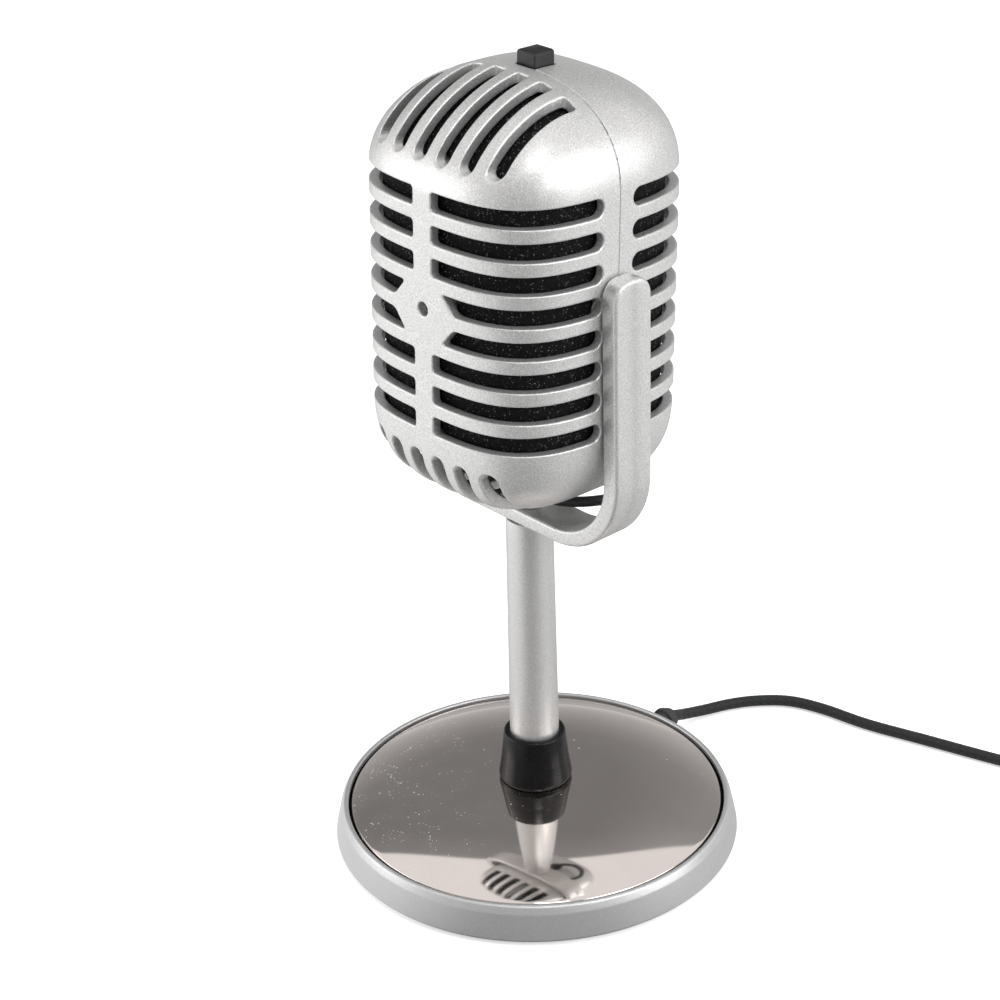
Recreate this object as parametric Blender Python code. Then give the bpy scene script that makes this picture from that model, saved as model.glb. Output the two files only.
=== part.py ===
"""Retro desktop microphone: a round weighted base, a stem, a swivelling fork, and a slotted
two-shell head that tilts in the fork. A cable runs from the base to a plug behind it.

Dimensions are in millimetres and angles in degrees; meshes are written in metres. The front of
the head faces -Y, the fork's arms stand at +X and -X, and the origin is the middle of the
underside. Turned profiles are lists of (radius, distance along the axis).
"""

import math

import bmesh
import bpy
from mathutils import Matrix, Vector

MM = 0.001
SHARP_ANGLE = 35.0
ORIGIN = (0, 0, 0)

# Base, drawn with the cable leaving along +Y and then turned about Z
BASE_TURN = 6.3
RIM_R = 44.8
RIM_TOP_R = 43.5
RIM_TOP_Z = 8.75
LIP_R = 41.85
LIP_Z = 8.5
LEDGE_R = 36.5
LEDGE_LOW_Z, LEDGE_TOP_Z = 2.6, 6.2
SKIRT_R, SKIRT_Z = 41.7, 0.7  # inner radius of the housing's lower edge, and its height
PLATE_R = 41.2
PLATE_T = 1.2
PLATE_EDGE_Z = 6.5
DOME_TOP = 13.7
DOME_FALL = 5.5  # height lost between the middle of the plate and its edge
DOME_POWER = 3.1  # nearly flat in the middle, falling away faster towards the edge
COVER_Z = (1.15, 2.4)
PAD_T = 1.0
SCREW_CIRCLE_R = 39.0
SCREW_PLACES = [
    (SCREW_CIRCLE_R * math.cos(angle), SCREW_CIRCLE_R * math.sin(angle), 0)
    for angle in (math.radians(45 + 90 * i) for i in range(4))
]
EXIT = (0, 0, 4.9)  # the axis along Y on which the cable leaves
CABLE_R = 1.3

# Stem
STEM_LOW_R, STEM_TOP_R = 5.4, 5.0
STEM_BORE = 4.15
STEM_LOW_Z, STEM_TOP_Z = 13.85, 78.55
COLLAR_LOW_Z, COLLAR_TOP_Z = 13.8, 25.7

# Fork
SWIVEL_Z = 78.7
ARM_IN = 27.5  # from the middle to an arm's inner face
ARM_T = 4.1
ARM_W = 10.0
ARM_TOP = 141.3
ARM_CORNER = 3.5
STRIP_EDGE = 0.9  # rounding along the strip's edges
BAR_Z = 78.8
BAR_T = 3.4
BEND_IN = 15.4  # inner radius of the bend between bar and arm
BEND_STEPS = 8
PIN_BORE_R = 2.05
BOLT_BORE_R = 2.75
LEAD_R = 1.12

# Head
PIVOT_Z = 133.2
PIVOT = (0, 0, PIVOT_Z)
TILT_BACK = 2.0
HALF_X, HALF_Y = 27.2, 26.9
PLAN_POWER = 3.2
TOP_Z, LOW_Z = 176.8, 88.4
# Dome profiles: height where the dome starts, and how square its profile is.
TOP_SIDE = (157.8, 2.3)
TOP_FRONT = (157.0, 1.75)
TOP_REAR = (152.0, 2.7)
LOW_SIDE = (112.5, 3.05)
LOW_FACE = (109.5, 3.1)  # front and rear
WALL = 2.2
SEAM = 0.05  # gap on each side of the plane between the shells
POST_Z = (160.3, 104.7)
POST_ROOT = 25.6  # posts start inside the wall, so that they fuse with it
FOAM_OUT, FOAM_IN = 2.5, 3.8  # insets of the foam's two faces
FOAM_GAP = 0.8
LEAD_HOLE = (0, 12.0, 0)
BUTTON_Y, BUTTON_Z = 3.0, 175.0

# Slots of the head
SLOT_TOP = 157.9
SLOT_PITCH = 6.706
SLOT_H = 3.8
SLOT_ROWS = 8
MIDDLE_BAR_HALF = 2.65  # half-width of the solid bar between right and left slots
SLOT_END_FRONT, SLOT_END_REAR = 4.2, 3.7  # from the seam to the slot's rounded end
PAD_ROWS = (3, 4)
PAD_NARROW, PAD_WIDE = 5.4, 8.7  # half-widths of the six-sided pad
RIB_COUNT = 6
RIB_PITCH = 6.5
RIB_SLOT_W = 3.7
RIB_TOP_END, RIB_LOW_END = 162.7, 102.2  # heights of the rounded ends
RIB_TOP_BACK, RIB_LOW_BACK = -3.1, -8.0

# Reach of the cutters, well beyond the head
FAR = 40
FAR_LOW, FAR_TOP = 60, 200

# Plug, drawn along +X from its own origin
PLUG_X, PLUG_Y, PLUG_Z = 92.0, 104.2, 4.5
PLUG_RUN_X, PLUG_RUN_Y = 8.0, 2.7  # the cable's last stretch, which sets the plug's direction


# ---------------------------------------------------------------- objects


def clear_scene():
    for obj in list(bpy.data.objects):
        bpy.data.objects.remove(obj, do_unlink=True)
    for mesh in list(bpy.data.meshes):
        bpy.data.meshes.remove(mesh)


def material(name, colour, roughness, metallic=0.0):
    mat = bpy.data.materials.new(name)
    mat.use_nodes = True
    shader = mat.node_tree.nodes["Principled BSDF"]
    shader.inputs["Base Color"].default_value = (*colour, 1.0)
    shader.inputs["Roughness"].default_value = roughness
    shader.inputs["Metallic"].default_value = metallic
    mat.diffuse_color = (*colour, 1.0)
    return mat


def empty(name, place, parent=None, rotation=ORIGIN, anchor=None):
    """Adds an empty at place in the upright frame. Its parts are drawn about anchor."""
    obj = bpy.data.objects.new(name, None)
    bpy.context.scene.collection.objects.link(obj)
    obj.empty_display_size = 0.01
    obj.parent = parent
    parent_place = Vector(parent["anchor"]) if parent else Vector(ORIGIN)
    obj.location = (Vector(place) - parent_place) * MM
    obj.rotation_euler = [math.radians(angle) for angle in rotation]
    obj["anchor"] = list(anchor or place)
    return obj


def link_mesh(name, bm, parent):
    """Links the bmesh, drawn in millimetres in the upright frame, as an object under parent."""
    bmesh.ops.translate(bm, verts=bm.verts, vec=-Vector(parent["anchor"]))
    bmesh.ops.scale(bm, verts=bm.verts, vec=(MM, MM, MM))
    bmesh.ops.recalc_face_normals(bm, faces=bm.faces)
    mesh = bpy.data.meshes.new(name)
    bm.to_mesh(mesh)
    bm.free()
    obj = bpy.data.objects.new(name, mesh)
    bpy.context.scene.collection.objects.link(obj)
    obj.parent = parent
    return obj


def solid(name, bm, mat, parent):
    obj = link_mesh(name, bm, parent)
    obj.data.materials.append(mat)
    obj.data.shade_smooth()
    obj.data.set_sharp_from_angle(angle=math.radians(SHARP_ANGLE))
    return obj


def cutter(name, bm, parent):
    obj = link_mesh(name, bm, parent)
    obj.hide_render = True
    obj.display_type = "WIRE"
    return obj


def boolean(obj, tool, operation="DIFFERENCE"):
    modifier = obj.modifiers.new(operation.lower(), "BOOLEAN")
    modifier.operation = operation
    modifier.solver = "EXACT"
    modifier.object = tool


def combine(obj, name, bm, operation="DIFFERENCE"):
    """Turns the bmesh into a cutter beside obj and applies it to obj."""
    boolean(obj, cutter(name, bm, obj.parent), operation)


# ---------------------------------------------------------------- shapes
# Each shape is added to the bmesh given, or to a new one, which is returned.


def bridge(bm, first, second):
    """Joins two rings of vertices with faces. A ring may be a single vertex."""
    count = max(len(first), len(second))
    if count == 1:
        return
    for i in range(count):
        j = (i + 1) % count
        corners = (
            first[i % len(first)],
            first[j % len(first)],
            second[j % len(second)],
            second[i % len(second)],
        )
        bm.faces.new(list(dict.fromkeys(corners)))


def turned(profile, steps=24, axis="Z", centre=ORIGIN, bm=None):
    """Spins a closed profile about an axis through centre."""
    bm = bm or bmesh.new()
    rings = []
    for radius, height in profile:
        if radius < 1e-6:
            rings.append([bm.verts.new((0, 0, height))])
            continue
        angles = [2 * math.pi * i / steps for i in range(steps)]
        rings.append(
            [bm.verts.new((radius * math.cos(a), radius * math.sin(a), height)) for a in angles]
        )
    for first, second in zip(rings, rings[1:] + rings[:1]):
        bridge(bm, first, second)
    turn = {
        "Z": Matrix.Identity(4),
        "Y": Matrix.Rotation(math.radians(-90), 4, "X"),
        "X": Matrix.Rotation(math.radians(90), 4, "Y"),
    }[axis]
    made = [vert for ring_verts in rings for vert in ring_verts]
    bmesh.ops.transform(bm, matrix=Matrix.Translation(centre) @ turn, verts=made)
    return bm


def ring(inner, outer, start, end, steps=24, axis="Z", centre=ORIGIN, bm=None):
    profile = [(inner, start), (outer, start), (outer, end), (inner, end)]
    return turned(profile, steps, axis, centre, bm)


def rod(radius, start, end, steps=24, axis="Z", centre=ORIGIN, bm=None):
    return ring(0, radius, start, end, steps, axis, centre, bm)


def box(low, high, bm=None):
    bm = bm or bmesh.new()
    made = bmesh.ops.create_cube(bm, size=1.0)["verts"]
    size = [top - bottom for bottom, top in zip(low, high)]
    middle = [(top + bottom) / 2 for bottom, top in zip(low, high)]
    bmesh.ops.scale(bm, verts=made, vec=size)
    bmesh.ops.translate(bm, verts=made, vec=middle)
    return bm


def prism(outline, axis, start, end, bm=None):
    """Extrudes a closed outline, given in the other two axes in X, Y, Z order, along an axis."""
    bm = bm or bmesh.new()
    place = {
        "X": lambda a, b, along: (along, a, b),
        "Y": lambda a, b, along: (a, along, b),
        "Z": lambda a, b, along: (a, b, along),
    }[axis]
    face = bm.faces.new([bm.verts.new(place(a, b, start)) for a, b in outline])
    made = bmesh.ops.extrude_face_region(bm, geom=[face])["geom"]
    shift = Vector(place(0, 0, end)) - Vector(place(0, 0, start))
    moved = [item for item in made if isinstance(item, bmesh.types.BMVert)]
    bmesh.ops.translate(bm, verts=moved, vec=shift)
    return bm


def loft(sections):
    """Joins equal rings of points, one after another, and closes both ends."""
    bm = bmesh.new()
    rings = [[bm.verts.new(point) for point in section] for section in sections]
    for first, second in zip(rings, rings[1:]):
        bridge(bm, first, second)
    bm.faces.new(rings[0][::-1])
    bm.faces.new(rings[-1])
    return bm


def arc(centre_a, centre_b, radius, start, end, steps):
    angles = [math.radians(start + (end - start) * i / steps) for i in range(steps + 1)]
    return [
        (centre_a + radius * math.cos(angle), centre_b + radius * math.sin(angle))
        for angle in angles
    ]


def rounded_rectangle(half_a, half_b, radius, steps):
    points = []
    for i, (sign_a, sign_b) in enumerate(((1, 1), (-1, 1), (-1, -1), (1, -1))):
        centre_a = sign_a * (half_a - radius)
        centre_b = sign_b * (half_b - radius)
        points += arc(centre_a, centre_b, radius, 90 * i, 90 * i + 90, steps)
    return points


def smooth_path(points, steps):
    """Catmull-Rom curve through the points."""
    knots = [Vector(point) for point in points]
    knots = [2 * knots[0] - knots[1]] + knots + [2 * knots[-1] - knots[-2]]
    path = []
    for before, start, end, after in zip(knots, knots[1:], knots[2:], knots[3:]):
        for i in range(steps):
            t = i / steps
            path.append(
                0.5
                * (
                    2 * start
                    + (end - before) * t
                    + (2 * before - 5 * start + 4 * end - after) * t * t
                    + (3 * start - before - 3 * end + after) * t**3
                )
            )
    path.append(knots[-2])
    return path


def cord(path, radius, sides):
    """Solid cord along the path, with a frame carried from point to point so it never twists."""
    last = len(path) - 1
    tangents = [
        (path[min(i + 1, last)] - path[max(i - 1, 0)]).normalized() for i in range(len(path))
    ]
    angles = [2 * math.pi * i / sides for i in range(sides)]
    side = tangents[0].orthogonal().normalized()
    sections = []
    for point, tangent in zip(path, tangents):
        side = (side - tangent * side.dot(tangent)).normalized()
        up = tangent.cross(side)
        sections.append(
            [
                point + side * (radius * math.cos(a)) + up * (radius * math.sin(a))
                for a in angles
            ]
        )
    return loft(sections)


def nut(name, bore_name, parent, corner_r, span, bore_r, bore_span):
    """Hexagonal nut about the Z axis; spans are its lower and upper heights."""
    obj = solid(name, prism(arc(0, 0, corner_r, 0, 300, 5), "Z", *span), steel, parent)
    combine(obj, bore_name, rod(bore_r, *bore_span))


# ---------------------------------------------------------------- materials and frames

clear_scene()

satin = material("satin_silver", colour=(0.62, 0.62, 0.61), roughness=0.38, metallic=0.75)
mirror = material("polished_steel", colour=(0.60, 0.59, 0.58), roughness=0.05, metallic=1.0)
rubber = material("black_rubber", colour=(0.03, 0.03, 0.03), roughness=0.8)
black = material("black_plastic", colour=(0.025, 0.025, 0.027), roughness=0.35)
button_black = material("button_plastic", colour=(0.05, 0.05, 0.052), roughness=0.4)
braid = material("black_braid", colour=(0.03, 0.03, 0.032), roughness=0.7)
lead_black = material("lead_sheath", colour=(0.015, 0.015, 0.016), roughness=0.4)
foam = material("black_foam", colour=(0.012, 0.012, 0.013), roughness=0.95)
board_green = material("board", colour=(0.03, 0.16, 0.07), roughness=0.5)
steel = material("zinc_steel", colour=(0.5, 0.5, 0.5), roughness=0.3, metallic=1.0)
cast = material("cast_iron", colour=(0.12, 0.12, 0.12), roughness=0.7, metallic=0.8)
brass = material("brass", colour=(0.65, 0.5, 0.22), roughness=0.3, metallic=1.0)
nylon = material("white_nylon", colour=(0.75, 0.75, 0.72), roughness=0.5)

base = empty("base", ORIGIN, rotation=(0, 0, BASE_TURN))
stem = empty("stem", ORIGIN)
fork = empty("fork_swivel", (0, 0, SWIVEL_Z))
head = empty("head_tilt_axis", PIVOT, fork, rotation=(-TILT_BACK, 0, 0))
press = empty("button_axis", (0, BUTTON_Y, BUTTON_Z), head)
plug = empty(
    "plug",
    (PLUG_X, PLUG_Y, PLUG_Z),
    rotation=(0, 0, math.degrees(math.atan2(PLUG_RUN_Y, PLUG_RUN_X))),
    anchor=ORIGIN,
)


# ---------------------------------------------------------------- base


def base_housing():
    profile = [
        (44.3, SKIRT_Z), (RIM_R, 1.2), (RIM_TOP_R, 7.0), (43.2, 7.9), (42.7, 8.5),
        (42.2, RIM_TOP_Z), (LIP_R, LIP_Z), (LIP_R, LEDGE_TOP_Z), (LEDGE_R, LEDGE_TOP_Z),
        (LEDGE_R, LEDGE_LOW_Z), (SKIRT_R, LEDGE_LOW_Z), (SKIRT_R, SKIRT_Z),
    ]
    housing = solid("base_housing", turned(profile, 56), satin, base)
    holes = rod(2.45, 30, 50, 20, "Y", EXIT)
    for place in SCREW_PLACES:
        rod(1.05, 0, 5.0, 14, centre=place, bm=holes)
    combine(housing, "housing_holes", holes)


def dome_height(radius, drop=0.0):
    return DOME_TOP - drop - DOME_FALL * (radius / PLATE_R) ** DOME_POWER


def base_plate():
    """Domed plate with a hole in the middle and a turned-down edge."""
    upper = [(r, dome_height(r)) for r in (STEM_BORE, 11, 17, 23, 28, 32.5, 36.5, 40.2)]
    edge = [
        (40.9, dome_height(40.9) - 0.12),
        (PLATE_R, dome_height(PLATE_R) - 0.45),
        (PLATE_R, PLATE_EDGE_Z),
        (PLATE_R - PLATE_T, PLATE_EDGE_Z),
    ]
    lower = [(r, dome_height(r, PLATE_T)) for r in (39.4, 36, 31, 25, 17, STEM_BORE)]
    solid("base_plate", turned(upper + edge + lower, 56), mirror, base)


def base_weight():
    weight = solid("base_weight", ring(9.6, 35.8, 2.7, 6.7, 48), cast, base)
    combine(weight, "weight_slot", box((-2.2, 5, 2.0), (2.2, 40, 8.0)))


def base_bottom_cover():
    """Flat disc with four counterbored screw holes."""
    cover = solid("base_bottom_cover", rod(41.4, *COVER_Z, 40), black, base)
    profile = [(0, 0.5), (2.25, 0.5), (2.25, 1.85), (1.15, 1.85), (1.15, 3.2), (0, 3.2)]
    holes = bmesh.new()
    for place in SCREW_PLACES:
        turned(profile, 16, centre=place, bm=holes)
    combine(cover, "cover_holes", holes)


def base_screws():
    profile = [
        (0, 1.2), (2.0, 1.2), (2.1, 1.4), (2.1, 1.8), (0.95, 1.8), (0.95, 4.6), (0, 4.9),
    ]
    for i, place in enumerate(SCREW_PLACES):
        solid(f"base_screw_{i + 1}", turned(profile, 14, centre=place), steel, base)


def base_pad():
    profile = [(0, 0), (40.2, 0), (40.5, 0.3), (40.5, PAD_T), (0, PAD_T)]
    solid("base_pad", turned(profile, 40), rubber, base)


def cable_grommet():
    profile = [
        (1.4, 41.95), (2.35, 41.95), (2.35, 45.6), (3.1, 45.7), (3.1, 46.6), (2.2, 48.6),
        (1.4, 48.8),
    ]
    solid("cable_grommet", turned(profile, 18, "Y", EXIT), rubber, base)


# ---------------------------------------------------------------- stem


def stem_collar():
    profile = [
        (5.5, COLLAR_LOW_Z), (7.6, COLLAR_LOW_Z), (7.88, 14.15), (8.02, 14.9), (7.86, 16.2),
        (7.43, 19.0), (7.12, 21.6), (6.84, 24.2), (6.55, 25.2), (6.1, COLLAR_TOP_Z),
        (5.7, 25.6), (5.5, 25.3),
    ]
    solid("stem_collar", turned(profile, 28), black, stem)


def stem_tube():
    profile = [
        (STEM_BORE, STEM_LOW_Z),
        (STEM_LOW_R, STEM_LOW_Z),
        (STEM_LOW_R, 26),
        (STEM_TOP_R + 0.05, 74),
        (STEM_TOP_R, STEM_TOP_Z - 0.3),
        (STEM_TOP_R - 0.25, STEM_TOP_Z),
        (STEM_BORE, STEM_TOP_Z),
    ]
    solid("stem_tube", turned(profile, 36), satin, stem)


def stem_fittings():
    """Rings at both ends of the stem, and the nut under the base plate."""
    solid("stem_plug", ring(2.75, 4.1, 68.0, 77.9), brass, stem)
    solid("lower_nipple", ring(2.6, 3.95, 8.6, 26.0), steel, stem)
    solid("base_washer", ring(4.05, 8.0, 11.4, 12.35), steel, stem)
    nut(
        "base_nut", "nut_bore", stem,
        corner_r=7.5, span=(8.85, 11.3), bore_r=4.0, bore_span=(7.5, 12.6),
    )


# ---------------------------------------------------------------- fork


def strip(outward, middle, thick, wide):
    """Rounded-rectangle ring across the strip: thickness along outward, width along Y."""
    return [
        middle + outward * across + Vector((0, along, 0))
        for across, along in rounded_rectangle(thick / 2, wide / 2, STRIP_EDGE, 2)
    ]


def yoke():
    """U-shaped strip with rounded arm ends, lofted from the +X arm's top to the -X arm's."""
    to_right = Vector((1, 0, 0))
    arm_x = ARM_IN + ARM_T / 2
    half = []
    for drop in (0.0, 0.25, 0.9, 1.8, 3.5):
        corner_width = math.sqrt(ARM_CORNER**2 - (ARM_CORNER - drop) ** 2)
        wide = ARM_W - 2 * ARM_CORNER + 2 * corner_width
        edge_share = 1 - min(drop, STRIP_EDGE) / STRIP_EDGE
        thick = ARM_T - 2 * STRIP_EDGE * (1 - math.sqrt(1 - edge_share**2))
        half.append(strip(to_right, Vector((arm_x, 0, ARM_TOP - drop)), thick, wide))
    half.append(strip(to_right, Vector((arm_x, 0, 118)), ARM_T, ARM_W))
    bend_centre = Vector((ARM_IN - BEND_IN, 0, BAR_Z + BAR_T + BEND_IN))
    for i in range(BEND_STEPS + 1):
        angle = math.radians(90 * i / BEND_STEPS)
        outward = Vector((math.cos(angle), 0, -math.sin(angle)))
        thick = ARM_T + (BAR_T - ARM_T) * i / BEND_STEPS
        half.append(strip(outward, bend_centre + outward * (BEND_IN + thick / 2), thick, ARM_W))
    half.append(strip(Vector((0, 0, -1)), Vector((5.5, 0, BAR_Z + BAR_T / 2)), BAR_T, ARM_W))
    mirrored = [[Vector((-p.x, p.y, p.z)) for p in section] for section in reversed(half)]
    obj = solid("yoke", loft(half + mirrored), satin, fork)

    bores = bmesh.new()
    for side in (1, -1):
        rod(PIN_BORE_R, side * (ARM_IN - 1), side * (ARM_IN + 2.9), 32, "X", PIVOT, bores)
    rod(BOLT_BORE_R, BAR_Z - 1, BAR_Z + BAR_T + 1, bm=bores)
    combine(obj, "yoke_bores", bores)


def yoke_fittings():
    """Hollow bolt through the bar, its nut, and the washer on the stem."""
    profile = [
        (1.4, 64.0), (2.68, 64.0), (2.68, 82.3), (4.3, 82.3), (4.3, 83.2), (3.9, 83.5),
        (2.3, 83.5), (1.4, 82.5),
    ]
    solid("yoke_bolt", turned(profile), steel, fork)
    nut(
        "yoke_nut", "yoke_nut_bore", fork,
        corner_r=3.9, span=(65.0, 67.6), bore_r=BOLT_BORE_R, bore_span=(64, 69),
    )
    solid("swivel_washer", ring(2.8, 4.0, 78.05, SWIVEL_Z), nylon, fork)


# ---------------------------------------------------------------- head shells


def taper(z, inset, high, low):
    """Share of the full half-width left at height z, for the skin moved in by inset."""
    up = min(1.0, max(0.0, (z - high[0]) / (TOP_Z - inset - high[0])))
    down = min(1.0, max(0.0, (low[0] - z) / (low[0] - LOW_Z - inset)))
    return (1 - up ** high[1]) ** (1 / high[1]) * (1 - down ** low[1]) ** (1 / low[1])


def squared(value):
    """Coordinate on the squared-off round, for a cosine or sine."""
    return math.copysign(abs(value) ** (2 / PLAN_POWER), value)


def skin(inset, around=36, dome=6):
    """Closed head surface, moved in by inset: squared-off round in plan, domed at both ends."""
    bm = bmesh.new()
    top, low = TOP_Z - inset, LOW_Z + inset
    belt_top, belt_low = TOP_REAR[0], LOW_SIDE[0]
    quarter = [math.sin(math.pi / 2 * i / dome) for i in range(dome + 1)]
    heights = [belt_top + (top - belt_top) * share**0.85 for share in reversed(quarter)]
    heights += [belt_low - (belt_low - low) * share**0.75 for share in quarter]
    rings = []
    for z in heights:
        side = taper(z, inset, TOP_SIDE, LOW_SIDE)
        if side < 1e-4:
            rings.append([bm.verts.new((0, 0, z))])
            continue
        half_x = (HALF_X - inset) * side
        verts = []
        for i in range(around):
            angle = 2 * math.pi * (i + 0.5) / around
            high = TOP_FRONT if math.sin(angle) < 0 else TOP_REAR
            half_y = (HALF_Y - inset) * taper(z, inset, high, LOW_FACE)
            x = half_x * squared(math.cos(angle))
            y = half_y * squared(math.sin(angle))
            verts.append(bm.verts.new((x, y, z)))
        rings.append(verts)
    for first, second in zip(rings, rings[1:]):
        bridge(bm, first, second)
    # The belt's faces are flat. The domes' are twisted, so they are split before any cutting.
    twisted = []
    for face in bm.faces:
        levels = [vert.co.z for vert in face.verts]
        if max(levels) - min(levels) < belt_top - belt_low - 0.1:
            twisted.append(face)
    bmesh.ops.triangulate(bm, faces=twisted)
    return bm


def half_space(y_low, y_high, z_low=FAR_LOW, z_high=FAR_TOP):
    return box((-FAR, y_low, z_low), (FAR, y_high, z_high))


def side_slot(bm, row, side, front):
    """One slot: from the middle bar round the corner to its rounded end beside the seam."""
    top = SLOT_TOP - SLOT_PITCH * row
    low = top - SLOT_H
    radius = SLOT_H / 2
    end = -(SLOT_END_FRONT if front else SLOT_END_REAR) - radius
    outline = [(-FAR, low), (end, low)]
    outline += arc(end, (top + low) / 2, radius, -90, 90, 4)[1:-1]
    outline += [(end, top), (-FAR, top)]
    if not front:
        outline = [(-y, z) for y, z in outline]
    first = len(bm.verts)
    prism(outline, "X", MIDDLE_BAR_HALF, FAR, bm)
    bm.verts.ensure_lookup_table()
    for vert in bm.verts[first:]:
        if front and row in PAD_ROWS and vert.co.x < 10:
            # These rows stop at a slanted line, which leaves a pad round the small hole.
            share = (vert.co.z - low) / SLOT_H
            if row == PAD_ROWS[0]:
                share = 1 - share
            vert.co.x = PAD_NARROW + (PAD_WIDE - PAD_NARROW) * share
        vert.co.x *= side


def side_slots(front):
    bm = bmesh.new()
    for row in range(SLOT_ROWS):
        for side in (1, -1):
            side_slot(bm, row, side, front)
    return bm


def rib_slots():
    """Slots that run front to back over the top and under the bottom, with rounded ends."""
    bm = bmesh.new()
    radius = RIB_SLOT_W / 2
    for i in range(RIB_COUNT):
        x = (i - (RIB_COUNT - 1) / 2) * RIB_PITCH
        left, right = x - radius, x + radius
        outline = arc(x, RIB_TOP_END + radius, radius, 180, 360, 6)
        outline += [(right, FAR_TOP), (left, FAR_TOP)]
        prism(outline, "Y", -FAR, RIB_TOP_BACK, bm)
        outline = [(left, 70), (right, 70)]
        outline += arc(x, RIB_LOW_END - radius, radius, 0, 180, 6)
        prism(outline, "Y", -FAR, RIB_LOW_BACK, bm)
    return bm


def post_rods(radius, start, end, steps):
    """Rods along Y at both post heights."""
    bm = bmesh.new()
    for z in POST_Z:
        rod(radius, start, end, steps, "Y", (0, 0, z), bm)
    return bm


def add_pivot_bores(bm):
    for side in (-1, 1):
        rod(2.3, side * 23, side * 30, 24, "X", PIVOT, bm)


def front_shell(hollow):
    shell = solid("head_front_shell", skin(0.0), satin, head)
    posts = post_rods(2.6, -POST_ROOT, 2.1, 12)
    ring(6.0, 6.9, -POST_ROOT, -17.6, 24, "Y", PIVOT, posts)  # holds the capsule
    holes = post_rods(1.15, -9, 6, 14)
    rod(1.45, -30, -24.4, 20, "Y", PIVOT, holes)
    add_pivot_bores(holes)

    combine(shell, "front_half_space", half_space(-FAR, -SEAM), "INTERSECT")
    boolean(shell, hollow)
    combine(shell, "front_slots", side_slots(front=True))
    combine(shell, "dome_slots", rib_slots())
    combine(shell, "front_posts", posts, "UNION")
    combine(shell, "front_holes", holes)


def rear_shell(hollow):
    shell = solid("head_rear_shell", skin(0.0), satin, head)
    screw_hole = [(0, 3), (1.3, 3), (1.3, 8.5), (2.4, 8.5), (2.4, 30), (0, 30)]
    holes = bmesh.new()
    for z in POST_Z:
        turned(screw_hole, 12, "Y", (0, 0, z), holes)
    add_pivot_bores(holes)
    rod(2.35, 86, 95, 20, centre=LEAD_HOLE, bm=holes)
    box((-2.95, -2, 170), (2.95, 6.0, 185), holes)  # button opening

    combine(shell, "rear_half_space", half_space(SEAM, FAR), "INTERSECT")
    boolean(shell, hollow)
    combine(shell, "rear_slots", side_slots(front=False))
    combine(shell, "rear_posts", post_rods(3.1, 3.9, POST_ROOT, 12), "UNION")
    combine(shell, "rear_holes", holes)


# ---------------------------------------------------------------- head contents


def foam_linings():
    """Front lining, and a rear one that stops short of the top and bottom."""
    hollow = cutter("foam_hollow", skin(FOAM_IN, 28, 5), head)
    clearances = post_rods(3.5, -FAR, FAR, 16)
    rod(7.3, -FAR, -10, 24, "Y", PIVOT, clearances)
    rod(5.3, -FAR, FAR, 16, "X", PIVOT, clearances)
    holes = cutter("foam_holes", clearances, head)
    for name, half_name, space in (
        ("front_foam", "foam_front_half", half_space(-FAR, -FOAM_GAP)),
        ("rear_foam", "foam_rear_half", half_space(FOAM_GAP, FAR, 105, 161)),
    ):
        lining = solid(name, skin(FOAM_OUT, 28, 5), foam, head)
        combine(lining, half_name, space, "INTERSECT")
        boolean(lining, hollow)
        boolean(lining, holes)


def capsule():
    profile = [(0, -24.0), (4.6, -24.0), (4.8, -23.8), (4.8, -17.8), (0, -17.8)]
    solid("mic_capsule", turned(profile, 24, "Y", PIVOT), steel, head)
    solid("capsule_boot", ring(4.9, 5.9, -24.2, -16.6, 24, "Y", PIVOT), rubber, head)


def circuit_board():
    # (x, z) up the +X edge
    edge = [(17, 101.5), (17, 122), (19, 124), (19, 143), (17, 145), (17, 164.2)]
    outline = edge + [(-x, z) for x, z in reversed(edge)]
    board = solid("circuit_board", prism(outline, "Y", 2.2, 3.8), board_green, head)
    combine(board, "board_holes", post_rods(1.35, 0, 6, 14))


def head_screws():
    profile = [
        (0, -8.0), (0.7, -7.2), (1.05, -6.2), (1.05, 8.6), (2.1, 8.6), (2.1, 9.6),
        (1.6, 10.2), (0, 10.3),
    ]
    for name, z in zip(("head_screw_top", "head_screw_bottom"), POST_Z):
        solid(name, turned(profile, 14, "Y", (0, 0, z)), steel, head)


def pivots():
    """Headed pins that join the head to the arms, each with a washer."""
    pin = [
        (0, 22.8), (4.0, 22.8), (4.0, 23.9), (2.0, 23.9), (2.0, 30.0), (1.7, 30.3), (0, 30.3),
    ]
    for side, name in ((1, "right"), (-1, "left")):
        profile = [(radius, side * x) for radius, x in pin]
        solid(f"pivot_pin_{name}", turned(profile, 32, "X", PIVOT), steel, head)
        washer = ring(2.15, 4.4, side * 24.0, side * 24.6, 24, "X", PIVOT)
        solid(f"pivot_washer_{name}", washer, nylon, head)


def head_grommet():
    profile = [
        (1.42, 87.3), (3.2, 87.5), (3.3, 88.15), (2.2, 88.3), (2.2, 92.9), (2.9, 93.1),
        (2.9, 93.8), (1.42, 94.0),
    ]
    solid("head_grommet", turned(profile, 18, centre=LEAD_HOLE), rubber, head)


# ---------------------------------------------------------------- switch and button


def switch():
    body = solid("switch_body", box((-3.1, 0.1, 164.5), (3.1, 6.1, 169.2)), black, head)
    combine(body, "switch_well", box((-1.5, 1.5, 166.5), (1.5, 4.5, 171)))
    solid("switch_plunger", box((-1.2, 1.8, 168.4), (1.2, 4.2, 172.0)), nylon, press)


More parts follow.
